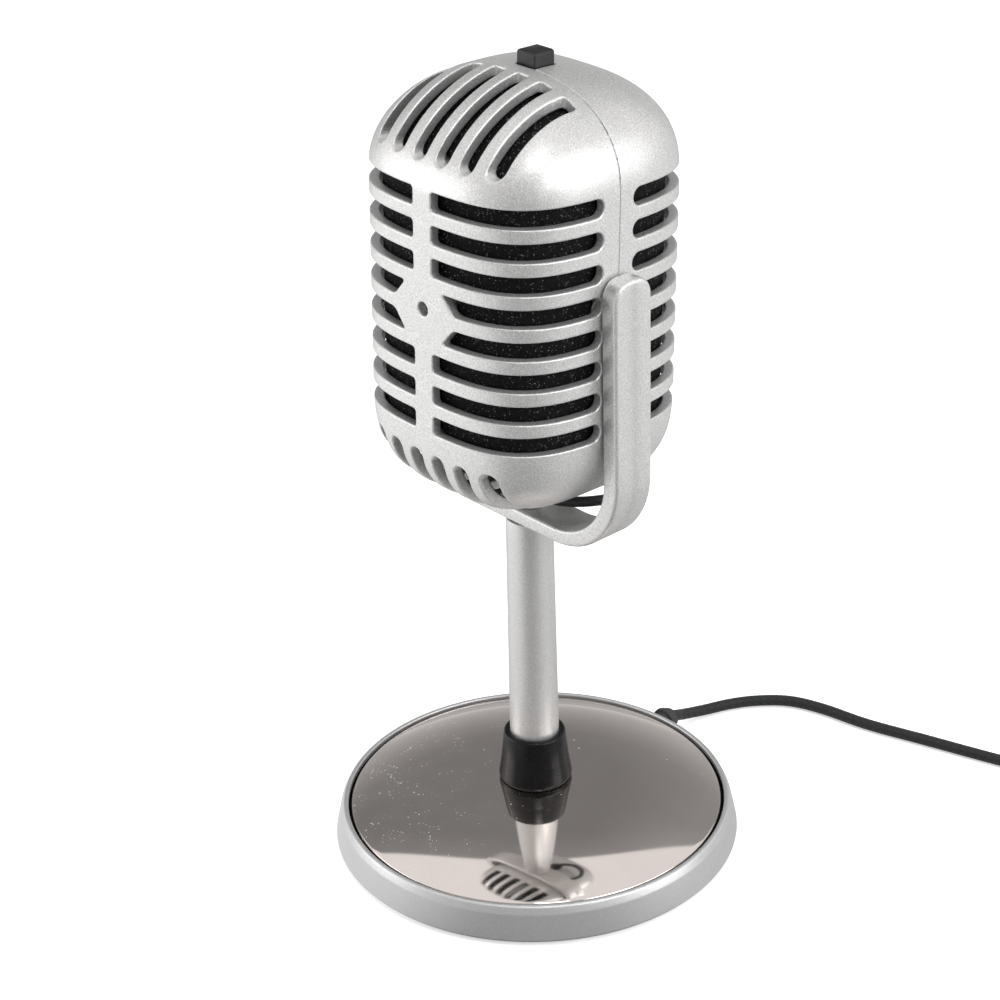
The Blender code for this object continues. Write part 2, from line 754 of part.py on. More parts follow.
def button_cap():
    """A retaining flange under the shell, a square body, and a crowned top."""
    # z, half-width along X, middle along Y, half-width along Y
    stations = [
        (172.1, 3.4, 3.3, 3.15),
        (173.2, 3.4, 3.3, 3.15),
        (173.2001, 2.62, BUTTON_Y, 2.62),
        (180.2, 2.62, BUTTON_Y, 2.62),
    ]
    corners = ((-1, -1), (1, -1), (1, 1), (-1, 1))
    sections = [
        [Vector((x * half_x, middle_y + y * half_y, z)) for x, y in corners]
        for z, half_x, middle_y, half_y in stations
    ]
    cap = solid("button_cap", loft(sections), button_black, press)
    crown = [(-4.0, 160), (4.0, 160)] + arc(0, 173.65, 6.4, 51, 129, 10)
    combine(cap, "button_crown", prism(crown, "Y", -4, 10), "INTERSECT")


# ---------------------------------------------------------------- lead, cable and plug


def head_lead():
    """Lead out of the stem, looped under the head and up into it."""
    below_head = [
        (0, 0, 57.5), (0, 0, 70), (0, 0, 80), (0.2, -0.1, 83.2), (2.5, -0.4, 85.15),
        (7.5, -0.6, 85.4), (11.6, 2.0, 85.3), (15.0, 6.0, 85.4), (16.4, 11.0, 85.2),
        (12.8, 15.2, 84.6), (6.8, 15.8, 84.0), (2.0, 12.9, 84.0),
    ]
    # Drawn with the head upright, then tilted with it.
    in_head = [
        (0, 12.0, 86.6), (0, 12.0, 88.6), (0, 12.0, 91.0), (0, 12.0, 94.6), (2.5, 11.0, 97),
        (6.5, 8.0, 101), (8.0, 5.4, 106), (8.0, 5.3, 111),
    ]
    to_pivot = Matrix.Translation(PIVOT)
    from_pivot = Matrix.Translation((0, 0, -PIVOT_Z))
    tilt = to_pivot @ Matrix.Rotation(math.radians(-TILT_BACK), 4, "X") @ from_pivot
    path = below_head + [tilt @ Vector(point) for point in in_head]
    solid("head_lead", cord(smooth_path(path, 3), LEAD_R, 8), lead_black, fork)


def main_cable():
    """Cable down the stem, out of the base and along the table to the plug."""
    exit_z = EXIT[2]
    in_stem = [(0, 0, 55), (0, 0, 40), (0, 0, 25), (0, 0, 12)]
    # Drawn in the base's own frame, then turned with it.
    in_base = [
        (0, 1.2, 6.6), (0, 5.5, 5.0), (0, 20, exit_z), (0, 36, exit_z), (0, 44, exit_z),
        (0, 48.8, 4.8),
    ]
    on_table = [
        (-6.1, 53.5, 2.9), (-5.3, 60, 1.6), (-3.2, 66.5, 1.3), (0.4, 72.3, 1.3),
        (6.0, 77.6, 1.3), (14.0, 80.6, 1.3), (26.0, 82.9, 1.3), (40.0, 87.3, 1.3),
        (57.0, 92.6, 1.3), (72.0, 97.6, 1.5), (84.0, 101.5, 3.4), (PLUG_X, PLUG_Y, 4.3),
        (PLUG_X + PLUG_RUN_X, PLUG_Y + PLUG_RUN_Y, PLUG_Z),
    ]
    turn = Matrix.Rotation(math.radians(BASE_TURN), 4, "Z")
    path = in_stem + [turn @ Vector(point) for point in in_base] + on_table
    solid("main_cable", cord(smooth_path(path, 2), CABLE_R, 10), braid, stem)


def plug_body():
    # x, half-width along Y, half-height, corner radius
    stations = [
        (2.0, 2.2, 2.2, 2.15),
        (9.0, 2.4, 2.4, 2.3),
        (11.0, 3.0, 2.9, 2.4),
        (13.5, 7.4, 3.9, 2.0),
        (15.0, 7.9, 4.2, 1.6),
        (36.5, 7.9, 4.2, 1.6),
        (37.5, 7.5, 3.9, 1.4),
    ]
    sections = [
        [Vector((x, y, z)) for y, z in rounded_rectangle(half_y, half_z, radius, 3)]
        for x, half_y, half_z, radius in stations
    ]
    body = solid("plug_body", loft(sections), black, plug)
    holes = rod(1.45, 0, 12, 16, "X")
    box((24.9, -6.15, -2.4), (39, 6.15, 2.4), holes)
    combine(body, "plug_body_holes", holes)


def plug_contact():
    """Open rectangular metal shell, with an insert in its lower half."""
    shell = solid("plug_shell", box((25.0, -6.0, -2.25), (55.5, 6.0, 2.25)), steel, plug)
    combine(shell, "plug_shell_hollow", box((24.0, -5.7, -1.95), (57.0, 5.7, 1.95)))
    solid("plug_insert", box((25.2, -5.6, -1.85), (55.5, 5.6, -0.05)), nylon, plug)


# ---------------------------------------------------------------- build

base_housing()
base_plate()
base_weight()
base_bottom_cover()
base_screws()
base_pad()
cable_grommet()

stem_collar()
stem_tube()
stem_fittings()

yoke()
yoke_fittings()

head_hollow = cutter("hollow", skin(WALL), head)
front_shell(head_hollow)
rear_shell(head_hollow)
foam_linings()
capsule()
circuit_board()
head_screws()
pivots()
head_grommet()
switch()
button_cap()

head_lead()
main_cable()
plug_body()
plug_contact()
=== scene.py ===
"""Retro desktop microphone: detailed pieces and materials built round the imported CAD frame.

The stem stands on the Z axis, the underside is at z = 0 and the head's front faces -Y. The cable
leaves the base towards +Y and ends in a plug at +X, +Y. Pieces are laid out in mm and scaled to
metres. The head's pieces are built upright, then tilted together about the pivots.
"""

import functools
import math

import bmesh
import bpy
import numpy as np
from mathutils import Matrix, Vector


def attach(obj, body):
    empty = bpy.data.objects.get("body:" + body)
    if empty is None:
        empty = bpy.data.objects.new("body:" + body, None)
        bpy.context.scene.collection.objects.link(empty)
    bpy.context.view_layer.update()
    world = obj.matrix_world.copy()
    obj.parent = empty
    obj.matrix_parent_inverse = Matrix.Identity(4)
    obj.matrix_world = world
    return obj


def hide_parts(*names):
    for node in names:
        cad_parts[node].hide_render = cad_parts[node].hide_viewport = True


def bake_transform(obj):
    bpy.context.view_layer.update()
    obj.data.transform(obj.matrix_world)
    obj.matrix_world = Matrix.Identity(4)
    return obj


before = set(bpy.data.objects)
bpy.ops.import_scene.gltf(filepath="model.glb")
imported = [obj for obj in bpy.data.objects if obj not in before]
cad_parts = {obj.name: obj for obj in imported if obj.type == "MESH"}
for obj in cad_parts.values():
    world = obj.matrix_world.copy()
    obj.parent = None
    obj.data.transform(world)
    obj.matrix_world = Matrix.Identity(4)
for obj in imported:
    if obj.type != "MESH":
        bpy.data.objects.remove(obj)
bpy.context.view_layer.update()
SCENE = bpy.context.scene
MM = 0.001

PIVOT_Z = 133.2
HEAD_TILT = math.radians(-2.0)
HEAD = (
    Matrix.Translation((0, 0, PIVOT_Z * MM))
    @ Matrix.Rotation(HEAD_TILT, 4, "X")
    @ Matrix.Translation((0, 0, -PIVOT_Z * MM))
)
LEAD_Y = 12.0  # where the lead enters the head's underside
BUTTON_Y = 3.0
CABLE_Z = 4.9  # height of the cable's way out of the base
CABLE_TURN = math.radians(6.3)  # turn of that way out from +Y towards -X
STEM_BORE = 4.15  # radius of the bore through the stem and the disc
BOLT_BORE = 1.4
PLUG_PLACE = (92.0, 104.2, 4.5)
PLUG_RUN = (8.0, 2.7)  # x and y of the plug's direction

LOOKS = {}  # materials by name

# ------------------------------------------------------------ mesh helpers


def place_object(name, data):
    obj = bpy.data.objects.new(name, data)
    SCENE.collection.objects.link(obj)
    return obj


def add_mesh(name, points, faces, normals=None, sharp=None):
    """Smooth-shaded object from points in mm; sharp is the angle of sharp edges in degrees."""
    mesh = bpy.data.meshes.new(name)
    points = np.asarray(points, np.float32) * MM
    mesh.from_pydata(points.tolist(), [], faces)
    mesh.update()
    mesh.shade_smooth()
    if sharp is not None:
        mesh.set_sharp_from_angle(angle=math.radians(sharp))
    if normals is not None:
        mesh.normals_split_custom_set_from_vertices(np.asarray(normals, np.float32))
    return place_object(name, mesh)


def add_bmesh(name, bm):
    mesh = bpy.data.meshes.new(name)
    bm.to_mesh(mesh)
    bm.free()
    return place_object(name, mesh)


def add_boxes(name, size, centres, bevel=0.0, segments=0):
    """One flat-shaded object of equal boxes, in mm, with bevelled edges if asked."""
    bm = bmesh.new()
    for centre in centres:
        corners = bmesh.ops.create_cube(bm, size=1.0)["verts"]
        bmesh.ops.scale(bm, vec=[side * MM for side in size], verts=corners)
        bmesh.ops.translate(bm, vec=[place * MM for place in centre], verts=corners)
    if bevel:
        bmesh.ops.bevel(
            bm, geom=bm.edges[:], offset=bevel * MM, segments=segments, profile=0.5, affect="EDGES"
        )
    return add_bmesh(name, bm)


def outward(obj):
    """Turns every face of a closed mesh outwards."""
    bm = bmesh.new()
    bm.from_mesh(obj.data)
    bmesh.ops.recalc_face_normals(bm, faces=bm.faces)
    bm.to_mesh(obj.data)
    bm.free()
    return obj


def finish(obj, body, slot, *nodes, in_head=False):
    """Gives a piece the material named by its slot, and tells the frame what it rides and replaces."""
    obj.data.materials.clear()
    obj.data.materials.append(LOOKS[slot])
    if in_head:
        obj.data.transform(HEAD)
    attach(obj, body)
    if nodes:
        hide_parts(*nodes)


def fillet(outline, radii, steps):
    """Rounds the corners of a closed 2-D outline, with one radius or a list of them."""
    if not isinstance(radii, list):
        radii = [radii] * len(outline)
    out = []
    for i, radius in enumerate(radii):
        corner = np.array(outline[i], float)
        if not radius:
            out.append(tuple(corner))
            continue
        before = np.array(outline[i - 1], float) - corner
        after = np.array(outline[(i + 1) % len(outline)], float) - corner
        before_run, after_run = np.linalg.norm(before), np.linalg.norm(after)
        before, after = before / before_run, after / after_run
        half = math.acos(before @ after) / 2
        reach = min(radius / math.tan(half), 0.48 * before_run, 0.48 * after_run)
        radius = reach * math.tan(half)
        middle = (before + after) / np.linalg.norm(before + after)
        centre = corner + middle * (radius / math.sin(half))
        first, last = corner + before * reach - centre, corner + after * reach - centre
        start = math.atan2(first[1], first[0])
        turn = (math.atan2(last[1], last[0]) - start + math.pi) % (2 * math.pi) - math.pi
        for k in range(steps + 1):
            angle = start + turn * k / steps
            out.append((centre[0] + radius * math.cos(angle), centre[1] + radius * math.sin(angle)))
    return out


def lathe(profile, steps):
    """Points and faces of a closed (radius, height) outline spun about Z."""
    points, rings = [], []
    for radius, height in profile:
        if radius < 1e-6:
            rings.append([len(points)])
            points.append((0, 0, height))
            continue
        rings.append(list(range(len(points), len(points) + steps)))
        for i in range(steps):
            angle = 2 * math.pi * i / steps
            points.append((radius * math.cos(angle), radius * math.sin(angle), height))
    following = rings[1:] + rings[:1]
    faces = []
    for this, other in zip(rings, following):
        if len(this) == 1 and len(other) == 1:
            continue
        for i in range(steps):
            j = (i + 1) % steps
            corners = []
            for place in (
                this[i % len(this)], this[j % len(this)],
                other[j % len(other)], other[i % len(other)],
            ):
                if place not in corners:
                    corners.append(place)
            faces.append(corners)
    # Faces point outwards when the outline runs anticlockwise.
    area = sum(r0 * h1 - r1 * h0 for (r0, h0), (r1, h1) in zip(profile, profile[1:] + profile[:1]))
    if area < 0:
        faces = [face[::-1] for face in faces]
    return points, faces


def add_turned(name, outline, radii, arc_steps, steps):
    return add_mesh(name, *lathe(fillet(outline, radii, arc_steps), steps), sharp=40)


def loft(sections, closed=False):
    """Points and faces through equal rings, capped at the ends or closed into a loop."""
    points = np.array(sections, float)
    index = np.arange(points.shape[0] * points.shape[1]).reshape(points.shape[:2])
    this, other = (index, np.roll(index, -1, 0)) if closed else (index[:-1], index[1:])
    quads = np.stack([this, np.roll(this, -1, 1), np.roll(other, -1, 1), other], axis=-1)
    faces = quads.reshape(-1, 4).tolist()
    if not closed:
        faces += [index[0][::-1].tolist(), index[-1].tolist()]
    return points.reshape(-1, 3), faces


def rounded_rectangle(half_u, half_v, radius, steps=6):
    out = []
    for side_u, side_v, start in ((1, 1, 0), (-1, 1, 90), (-1, -1, 180), (1, -1, 270)):
        for k in range(steps + 1):
            angle = math.radians(start + 90 * k / steps)
            u = side_u * (half_u - radius) + radius * math.cos(angle)
            v = side_v * (half_v - radius) + radius * math.sin(angle)
            out.append((u, v))
    return out


def distances(path):
    """Distance along a path to each of its points."""
    return np.concatenate([[0], np.cumsum(np.linalg.norm(np.diff(path, axis=0), axis=1))])


def cord_path(stations, steps, spacing, rounds):
    """Curve through the stations, evenly spaced, with its kinks relaxed and its ends kept."""
    knots = [np.array(station, float) for station in stations]
    knots = [2 * knots[0] - knots[1]] + knots + [2 * knots[-1] - knots[-2]]
    curve = []
    for k in range(1, len(knots) - 2):
        before, start, end, after = knots[k - 1 : k + 3]
        for i in range(steps):
            t = i / steps
            linear = (end - before) * t
            square = (2 * before - 5 * start + 4 * end - after) * t * t
            cubic = (3 * start - before - 3 * end + after) * t**3
            curve.append(0.5 * (2 * start + linear + square + cubic))
    curve = np.array(curve + [knots[-2]])
    travel = distances(curve)
    even = np.linspace(0, travel[-1], int(round(travel[-1] / spacing)) + 1)
    path = np.stack([np.interp(even, travel, curve[:, i]) for i in range(3)], axis=1)
    for _ in range(rounds):
        path[1:-1] = 0.5 * path[1:-1] + 0.25 * (path[:-2] + path[2:])
    return path


def ring_angles(sides):
    return 2 * np.pi * np.arange(sides) / sides


def cord(path, radius, sides):
    """Rings along a path that starts along Z; radius is a number or one for each ring and side."""
    tangents = np.gradient(path, axis=0)
    tangents /= np.linalg.norm(tangents, axis=1, keepdims=True)
    side = np.cross(tangents[0], (0, 1.0, 0))
    across = []
    for tangent in tangents:
        side = side - tangent * (side @ tangent)
        side = side / np.linalg.norm(side)
        across.append(side)
    across = np.array(across)
    up = np.cross(tangents, across)
    angle = ring_angles(sides)[None, :, None]
    radius = np.broadcast_to(radius, (len(path), sides))[..., None]
    spoke = across[:, None, :] * np.cos(angle) + up[:, None, :] * np.sin(angle)
    return path[:, None, :] + radius * spoke


# ------------------------------------------------------------ head shape as a distance field

HALF_X, HALF_Y, POWER = 27.2, 26.9, 3.2  # plan: half-widths and superellipse power
TOP_Z, LOW_Z = 176.8, 88.4
# (height where the side starts to close in, power of its curve)
TOP_SIDE, TOP_FRONT, TOP_REAR = (157.8, 2.3), (157.0, 1.75), (152.0, 2.7)
LOW_SIDE, LOW_FRONT, LOW_REAR = (112.5, 3.05), (109.5, 3.1), (109.5, 3.1)
LEAST_WIDTH = 0.4
WALL = 2.2
LIP, INNER_LIP = 0.33, 0.3  # rounding of the slots' outer and inner edges

SLOT_TOP, SLOT_PITCH, SLOT_H, SLOT_COUNT = 157.9, 6.706, 3.8, 8
SLOT_FRONT_END, SLOT_REAR_END = 4.2, 3.7  # distance of the slots' ends from the joint
SLOT_CORNER = 0.75
BAR_HALF = 2.65  # half-width of the upright bar between the left and right slots
WAIST_SLOT = 3  # this front slot and the next spread the bar around the pivot height
WAIST_HALF, WAIST_FLARE = 8.7, 3.3

RIB_COUNT, RIB_PITCH, RIB_HALF, RIB_CORNER = 6, 6.5, 1.85, 0.9
RIB_FIRST = RIB_PITCH * (RIB_COUNT - 1) / 2
TOP_RIB_Z, TOP_RIB_Y = 162.7, 3.1  # the top slots' lower end, and their distance from the joint
LOW_RIB_Z, LOW_RIB_Y = 102.2, 8.0  # the same for the slots in the underside

JOINT, JOINT_EDGE = 0.06, 0.12  # gap from each shell to y = 0, and its edge rounding
PIVOT_R, PIVOT_FROM = 2.2, 20  # side holes for the pivots, beyond this |x|
POST_Z = (160.3, 104.7)  # screw posts
INSIDE = 1.0  # posts and ring stop this far below the outer skin
FRONT_POST_R, FRONT_POST_END = 2.6, 2.1  # ends are y values
FRONT_BORE_R, FRONT_BORE_FROM = 1.15, -9.0
REAR_POST_R, REAR_POST_FROM = 3.1, 3.9
REAR_SINK_R, REAR_SINK_FROM = 2.4, 8.5
REAR_BORE_R, REAR_BORE_FROM, REAR_BORE_EDGE = 1.25, 3.0, 0.2
FRONT_HOLE_R = 1.42
RING_R, RING_HALF_T, RING_END = 6.45, 0.45, -17.6  # ring behind the front hole
WELL_HALF, WELL_FROM, WELL_EDGE = 2.86, 165, 0.15  # square opening for the button
LEAD_HOLE_R, LEAD_HOLE_TOP = 2.25, 100


def taper(z, high, low):
    up = np.clip((z - high[0]) / (TOP_Z - high[0]), 0, 1)
    down = np.clip((low[0] - z) / (low[0] - LOW_Z), 0, 1)
    return (1 - up ** high[1]) ** (1 / high[1]) * (1 - down ** low[1]) ** (1 / low[1])


# Half-widths against height, to the sides, front and rear.
TABLE_Z, TABLE_PER_MM = 86.0, 100.0
HEIGHTS = np.linspace(TABLE_Z, 180.0, 9401)
WIDTH_TABLES = [
    np.maximum(half * taper(HEIGHTS, high, low), LEAST_WIDTH)
    for half, high, low in (
        (HALF_X, TOP_SIDE, LOW_SIDE),
        (HALF_Y, TOP_FRONT, LOW_FRONT),
        (HALF_Y, TOP_REAR, LOW_REAR),
    )
]


def widths(y, z):
    place = np.clip((z - TABLE_Z) * TABLE_PER_MM, 0, len(HEIGHTS) - 2.0)
    i = place.astype(np.int32)
    share = place - i
    side, front, rear = [
        table[i] * (1 - share) + table[i + 1] * share for table in WIDTH_TABLES
    ]
    return side, np.where(y < 0, front, rear)


# Heights of the skin's top and bottom over a fine plan grid of one half, x >= 0.
PLAN, PLAN_Y = 0.1, 30
PLAN_GRID = np.meshgrid(
    np.arange(0, 30.01, PLAN), np.arange(-PLAN_Y, 30.01, PLAN), indexing="ij"
)


def skin_height(inner, outer):
    """Closes in on the skin between a height inside it and one outside."""
    x, y = PLAN_GRID
    inner, outer = np.full(x.shape, inner), np.full(x.shape, outer)
    for _ in range(18):
        middle = (inner + outer) / 2
        half_x, half_y = widths(y, middle)
        out = (np.abs(x) / half_x) ** POWER + (np.abs(y) / half_y) ** POWER > 1
        inner, outer = np.where(out, inner, middle), np.where(out, middle, outer)
    return outer


def steepness(table):
    """1 where the skin is too steep for a height to place it, 0 where it is not."""
    rise = np.zeros_like(table)
    for axis in (0, 1):
        step = np.abs(np.diff(table, axis=axis)) / PLAN
        for ends in ((0, 1), (1, 0)):
            padding = [(0, 0), (0, 0)]
            padding[axis] = ends
            rise = np.maximum(rise, np.pad(step, padding))
    wide = rise
    for i in (-1, 0, 1):
        for j in (-1, 0, 1):
            wide = np.maximum(wide, np.roll(np.roll(rise, i, 0), j, 1))
    return np.clip((wide - 2.5) / 2.0, 0, 1)


TOP_TABLE = skin_height(inner=150.0, outer=TOP_Z)
LOW_TABLE = skin_height(inner=114.0, outer=LOW_Z)
PLAN_TABLES = (TOP_TABLE, LOW_TABLE, steepness(TOP_TABLE), steepness(LOW_TABLE))


def ceilings(x, y):
    """Heights of the skin's top and bottom over (x, y), and how steep each is there."""
    rows, columns = TOP_TABLE.shape
    u = np.clip(np.abs(x) / PLAN, 0, rows - 2.001)
    v = np.clip((y + PLAN_Y) / PLAN, 0, columns - 2.001)
    i, j = u.astype(np.int32), v.astype(np.int32)
    s, t = u - i, v - j
    return [
        (table[i, j] * (1 - s) + table[i + 1, j] * s) * (1 - t)
        + (table[i, j + 1] * (1 - s) + table[i + 1, j + 1] * s) * t
        for table in PLAN_TABLES
    ]


def skin_distance(x, y, z):
    """Distance to the head's outer skin, negative inside."""
    top, low, steep_top, steep_low = ceilings(x, y)
    half_x, half_y = widths(y, z)
    abs_x, abs_y = np.maximum(np.abs(x), 1e-3), np.maximum(np.abs(y), 1e-3)
    part_x, part_y = (abs_x / half_x) ** POWER, (abs_y / half_y) ** POWER
    total = np.maximum(part_x + part_y, 1e-6)
    reach = total ** (1 / POWER)
    factor = reach / total
    slope_x, slope_y = factor * part_x / abs_x, factor * part_y / abs_y
    level = (reach - 1) / np.maximum(np.sqrt(slope_x * slope_x + slope_y * slope_y), 1e-3)
    in_plan = (abs_x / HALF_X) ** POWER + (abs_y / HALF_Y) ** POWER < 1
    upright = np.where(in_plan, np.maximum(z - top, low - z), 1e3)
    # The distances along the level and upright are legs of a triangle, whose height is used.
    hypotenuse = np.sqrt(level * level + upright * upright)
    joined = np.abs(level * upright) / np.maximum(hypotenuse, 1e-6)
    skin = np.where(
        level * upright > 0, np.where(level > 0, joined, -joined), np.maximum(level, upright)
    )
    steep = np.where(z > 133, steep_top, steep_low)
    return skin + (level - skin) * steep


def overlap(*solids):
    return functools.reduce(np.maximum, solids)


def meet(first, second, radius):
    """Intersection of two solids with the edge rounded."""
    u, v = np.maximum(first + radius, 0), np.maximum(second + radius, 0)
    return np.minimum(np.maximum(first, second), -radius) + np.sqrt(u * u + v * v)


def rod_y(x, z, centre_z, radius):
    return np.sqrt(x * x + (z - centre_z) ** 2) - radius


def rod_x(y, z, radius):
    """Rod along the pivot axis."""
    return np.sqrt(y * y + (z - PIVOT_Z) ** 2) - radius


def side_slots(x, y, z, front):
    half = SLOT_H / 2
    k = np.clip(np.round((SLOT_TOP - half - z) / SLOT_PITCH), 0, SLOT_COUNT - 1)
    top = SLOT_TOP - SLOT_PITCH * k
    offset = np.abs(z - (top - half))
    past_end = y + SLOT_FRONT_END + half if front else SLOT_REAR_END + half - y
    run = np.sqrt(np.maximum(past_end, 0) ** 2 + offset * offset) - half
    abs_x = np.abs(x)
    inner = BAR_HALF - abs_x
    if front:
        share = (z - (top - SLOT_H)) / SLOT_H
        slope = math.sqrt(1 + (WAIST_FLARE / SLOT_H) ** 2)
        upper = (WAIST_HALF - WAIST_FLARE * share - abs_x) / slope
        lower = (WAIST_HALF - WAIST_FLARE + WAIST_FLARE * share - abs_x) / slope
        inner = np.where(k == WAIST_SLOT, upper, inner)
        inner = np.where(k == WAIST_SLOT + 1, lower, inner)
    return meet(run, inner, SLOT_CORNER)


def rib_slots(x, y, z):
    """Upright slots through the front shell's top and underside."""
    k = np.clip(np.round((x + RIB_FIRST) / RIB_PITCH), 0, RIB_COUNT - 1)
    offset = np.abs(x - (RIB_PITCH * k - RIB_FIRST))

    def slot(past_end, depth):
        run = np.sqrt(np.maximum(past_end, 0) ** 2 + offset * offset) - RIB_HALF
        return meet(run, depth, RIB_CORNER)

    high = slot(TOP_RIB_Z + RIB_HALF - z, y + TOP_RIB_Y)
    return np.minimum(high, slot(z - (LOW_RIB_Z - RIB_HALF), y + LOW_RIB_Y))


def shell(skin, cut):
    return np.maximum(meet(skin, -cut, LIP), meet(-(skin + WALL), -cut, INNER_LIP))


def pivot_holes(x, y, z):
    return np.maximum(rod_x(y, z, PIVOT_R), PIVOT_FROM - np.abs(x))


def front_field(x, y, z):
    skin = skin_distance(x, y, z)
    cut = np.minimum(side_slots(x, y, z, True), rib_slots(x, y, z))
    cut = np.minimum(cut, rod_y(x, z, PIVOT_Z, FRONT_HOLE_R))
    body = np.maximum(shell(skin, cut), -pivot_holes(x, y, z))
    body = meet(body, y + JOINT, JOINT_EDGE)
    for post_z in POST_Z:
        post = overlap(rod_y(x, z, post_z, FRONT_POST_R), skin + INSIDE, y - FRONT_POST_END)
        bore = np.maximum(rod_y(x, z, post_z, FRONT_BORE_R), FRONT_BORE_FROM - y)
        body = np.minimum(body, np.maximum(post, -bore))
    ring = np.abs(rod_y(x, z, PIVOT_Z, RING_R)) - RING_HALF_T
    return np.minimum(body, overlap(ring, skin + INSIDE, y - RING_END))


def rear_field(x, y, z):
    skin = skin_distance(x, y, z)
    well = np.maximum(np.abs(x) - WELL_HALF, np.abs(y - BUTTON_Y) - WELL_HALF)
    body = shell(skin, side_slots(x, y, z, False))
    body = meet(body, -np.maximum(well, WELL_FROM - z), WELL_EDGE)
    body = np.maximum(body, -pivot_holes(x, y, z))
    lead = np.sqrt(x * x + (y - LEAD_Y) ** 2) - LEAD_HOLE_R
    body = np.maximum(body, -np.maximum(lead, z - LEAD_HOLE_TOP))
    body = meet(body, JOINT - y, JOINT_EDGE)
    for post_z in POST_Z:
        post = overlap(rod_y(x, z, post_z, REAR_POST_R), skin + INSIDE, REAR_POST_FROM - y)
        sink = np.maximum(rod_y(x, z, post_z, REAR_SINK_R), REAR_SINK_FROM - y)
        bore = np.maximum(rod_y(x, z, post_z, REAR_BORE_R), REAR_BORE_FROM - y)
        body = meet(np.minimum(body, post), -np.minimum(sink, bore), REAR_BORE_EDGE)
    return body


# ------------------------------------------------------------ meshing a field

CUBE = np.array([(i, j, k) for i in (0, 1) for j in (0, 1) for k in (0, 1)])


def corner_views(grid):
    """Eight views of a grid of points, each with one corner of every cell."""
    return [
        grid[tuple(slice(i, i + size - 1) for i, size in zip(corner, grid.shape))]
        for corner in CUBE
    ]


def sample(field, low, high, step):
    """Field values on a grid; blocks of cells far from the level only get their sign."""
    block = 4
    blocks = np.ceil((np.array(high, float) - low) / step / block).astype(int) + 1
    middles = [low[i] + step * block * (np.arange(blocks[i]) + 0.5) for i in range(3)]
    middle = np.stack(np.meshgrid(*middles, indexing="ij"), -1)
    rough = field(*middle.reshape(-1, 3).T).reshape(blocks)
    near = np.abs(rough) < step * block * math.sqrt(3) / 2 * 1.35 + 0.15
    value = np.ones(tuple(blocks * block + 1), np.float32)
    value[:-1, :-1, :-1] = np.kron(np.where(rough < 0, -1.0, 1.0), np.ones((block,) * 3))
    live = np.zeros(value.shape, bool)
    fill = np.kron(near, np.ones((block,) * 3, bool))
    for view in corner_views(live):
        view |= fill
    where = np.argwhere(live)
    chunk = 400000
    for k in range(0, len(where), chunk):
        part = where[k : k + chunk]
        value[tuple(part.T)] = field(*(low + step * part).T)
    return value


def crossing_points(value, cells):
    """Mean place of the level's crossings on each cell's edges, in grid steps."""
    corners = np.stack([value[tuple((cells + corner).T)] for corner in CUBE], axis=1)
    points, hits = np.zeros((len(cells), 3)), np.zeros(len(cells))
    for i in range(8):
        for j in range(i + 1, 8):
            if np.abs(CUBE[i] - CUBE[j]).sum() != 1:
                continue
            start, end = corners[:, i], corners[:, j]
            crossed = (start < 0) != (end < 0)
            share = np.where(crossed, start / np.where(crossed, start - end, 1), 0)
            place = CUBE[i] + share[:, None] * (CUBE[j] - CUBE[i])
            points += np.where(crossed[:, None], place, 0)
            hits += crossed
    return cells + points / hits[:, None]


def gradient(field, points, reach=0.04):
    out = []
    for step in np.eye(3) * reach:
        out.append((field(*(points + step).T) - field(*(points - step).T)) / (2 * reach))
    return np.stack(out, axis=1)


def add_field(name, field, low, high, step):
    """Closed surface of a field's zero level, one point per crossed cell, with its own normals."""
    low = np.array(low, float)
    value = sample(field, low, high, step)
    sign = value < 0
    count = sign.shape
    total = sum(view.astype(np.int8) for view in corner_views(sign))
    cells = np.argwhere((total > 0) & (total < 8))
    lookup = np.full(total.shape, -1, np.int32)
    lookup[tuple(cells.T)] = np.arange(len(cells))
    points = low + step * crossing_points(value, cells)
    # Two steps move the points on to the level.
    for _ in range(2):
        slope = gradient(field, points)
        error = field(*points.T)
        move = -(error / np.maximum((slope * slope).sum(axis=1), 0.2))[:, None] * slope
        points += np.clip(move, -0.35 * step, 0.35 * step)
    normals = gradient(field, points)
    normals /= np.maximum(np.linalg.norm(normals, axis=1, keepdims=True), 1e-9)
    # Every crossed grid edge gives a quad between its four cells.
    faces = []
    for axis in range(3):
        u, v = (axis + 1) % 3, (axis + 2) % 3
        edges = np.argwhere(np.diff(sign, axis=axis))
        edges = edges[(edges[:, u] > 0) & (edges[:, v] > 0)]
        edges = edges[(edges[:, u] < count[u] - 1) & (edges[:, v] < count[v] - 1)]
        quads = []
        for back_u, back_v in ((1, 1), (0, 1), (0, 0), (1, 0)):
            cell = edges.copy()
            cell[:, u] -= back_u
            cell[:, v] -= back_v
            quads.append(lookup[tuple(cell.T)])
        quads = np.stack(quads, axis=1)
        entering = ~sign[tuple(edges.T)]
        quads[entering] = quads[entering][:, ::-1]
        faces += quads.tolist()
    return add_mesh(name, points, faces, normals)


def lattice_noise(seed, size=48):
    table = np.random.RandomState(seed).uniform(-1, 1, (size, size, size))

    def noise(x, y, z, scale):
        places = [np.asarray(place, float) / scale for place in (x, y, z)]
        bases = [np.floor(place).astype(int) for place in places]
        shares = [place - base for place, base in zip(places, bases)]
        shares = [share * share * (3 - 2 * share) for share in shares]
        out = 0
        for corner in CUBE:
            weight = math.prod(s if far else 1 - s for far, s in zip(corner, shares))
            out = out + weight * table[tuple((b + far) % size for far, b in zip(corner, bases))]
        return out

    return noise


# ------------------------------------------------------------ materials


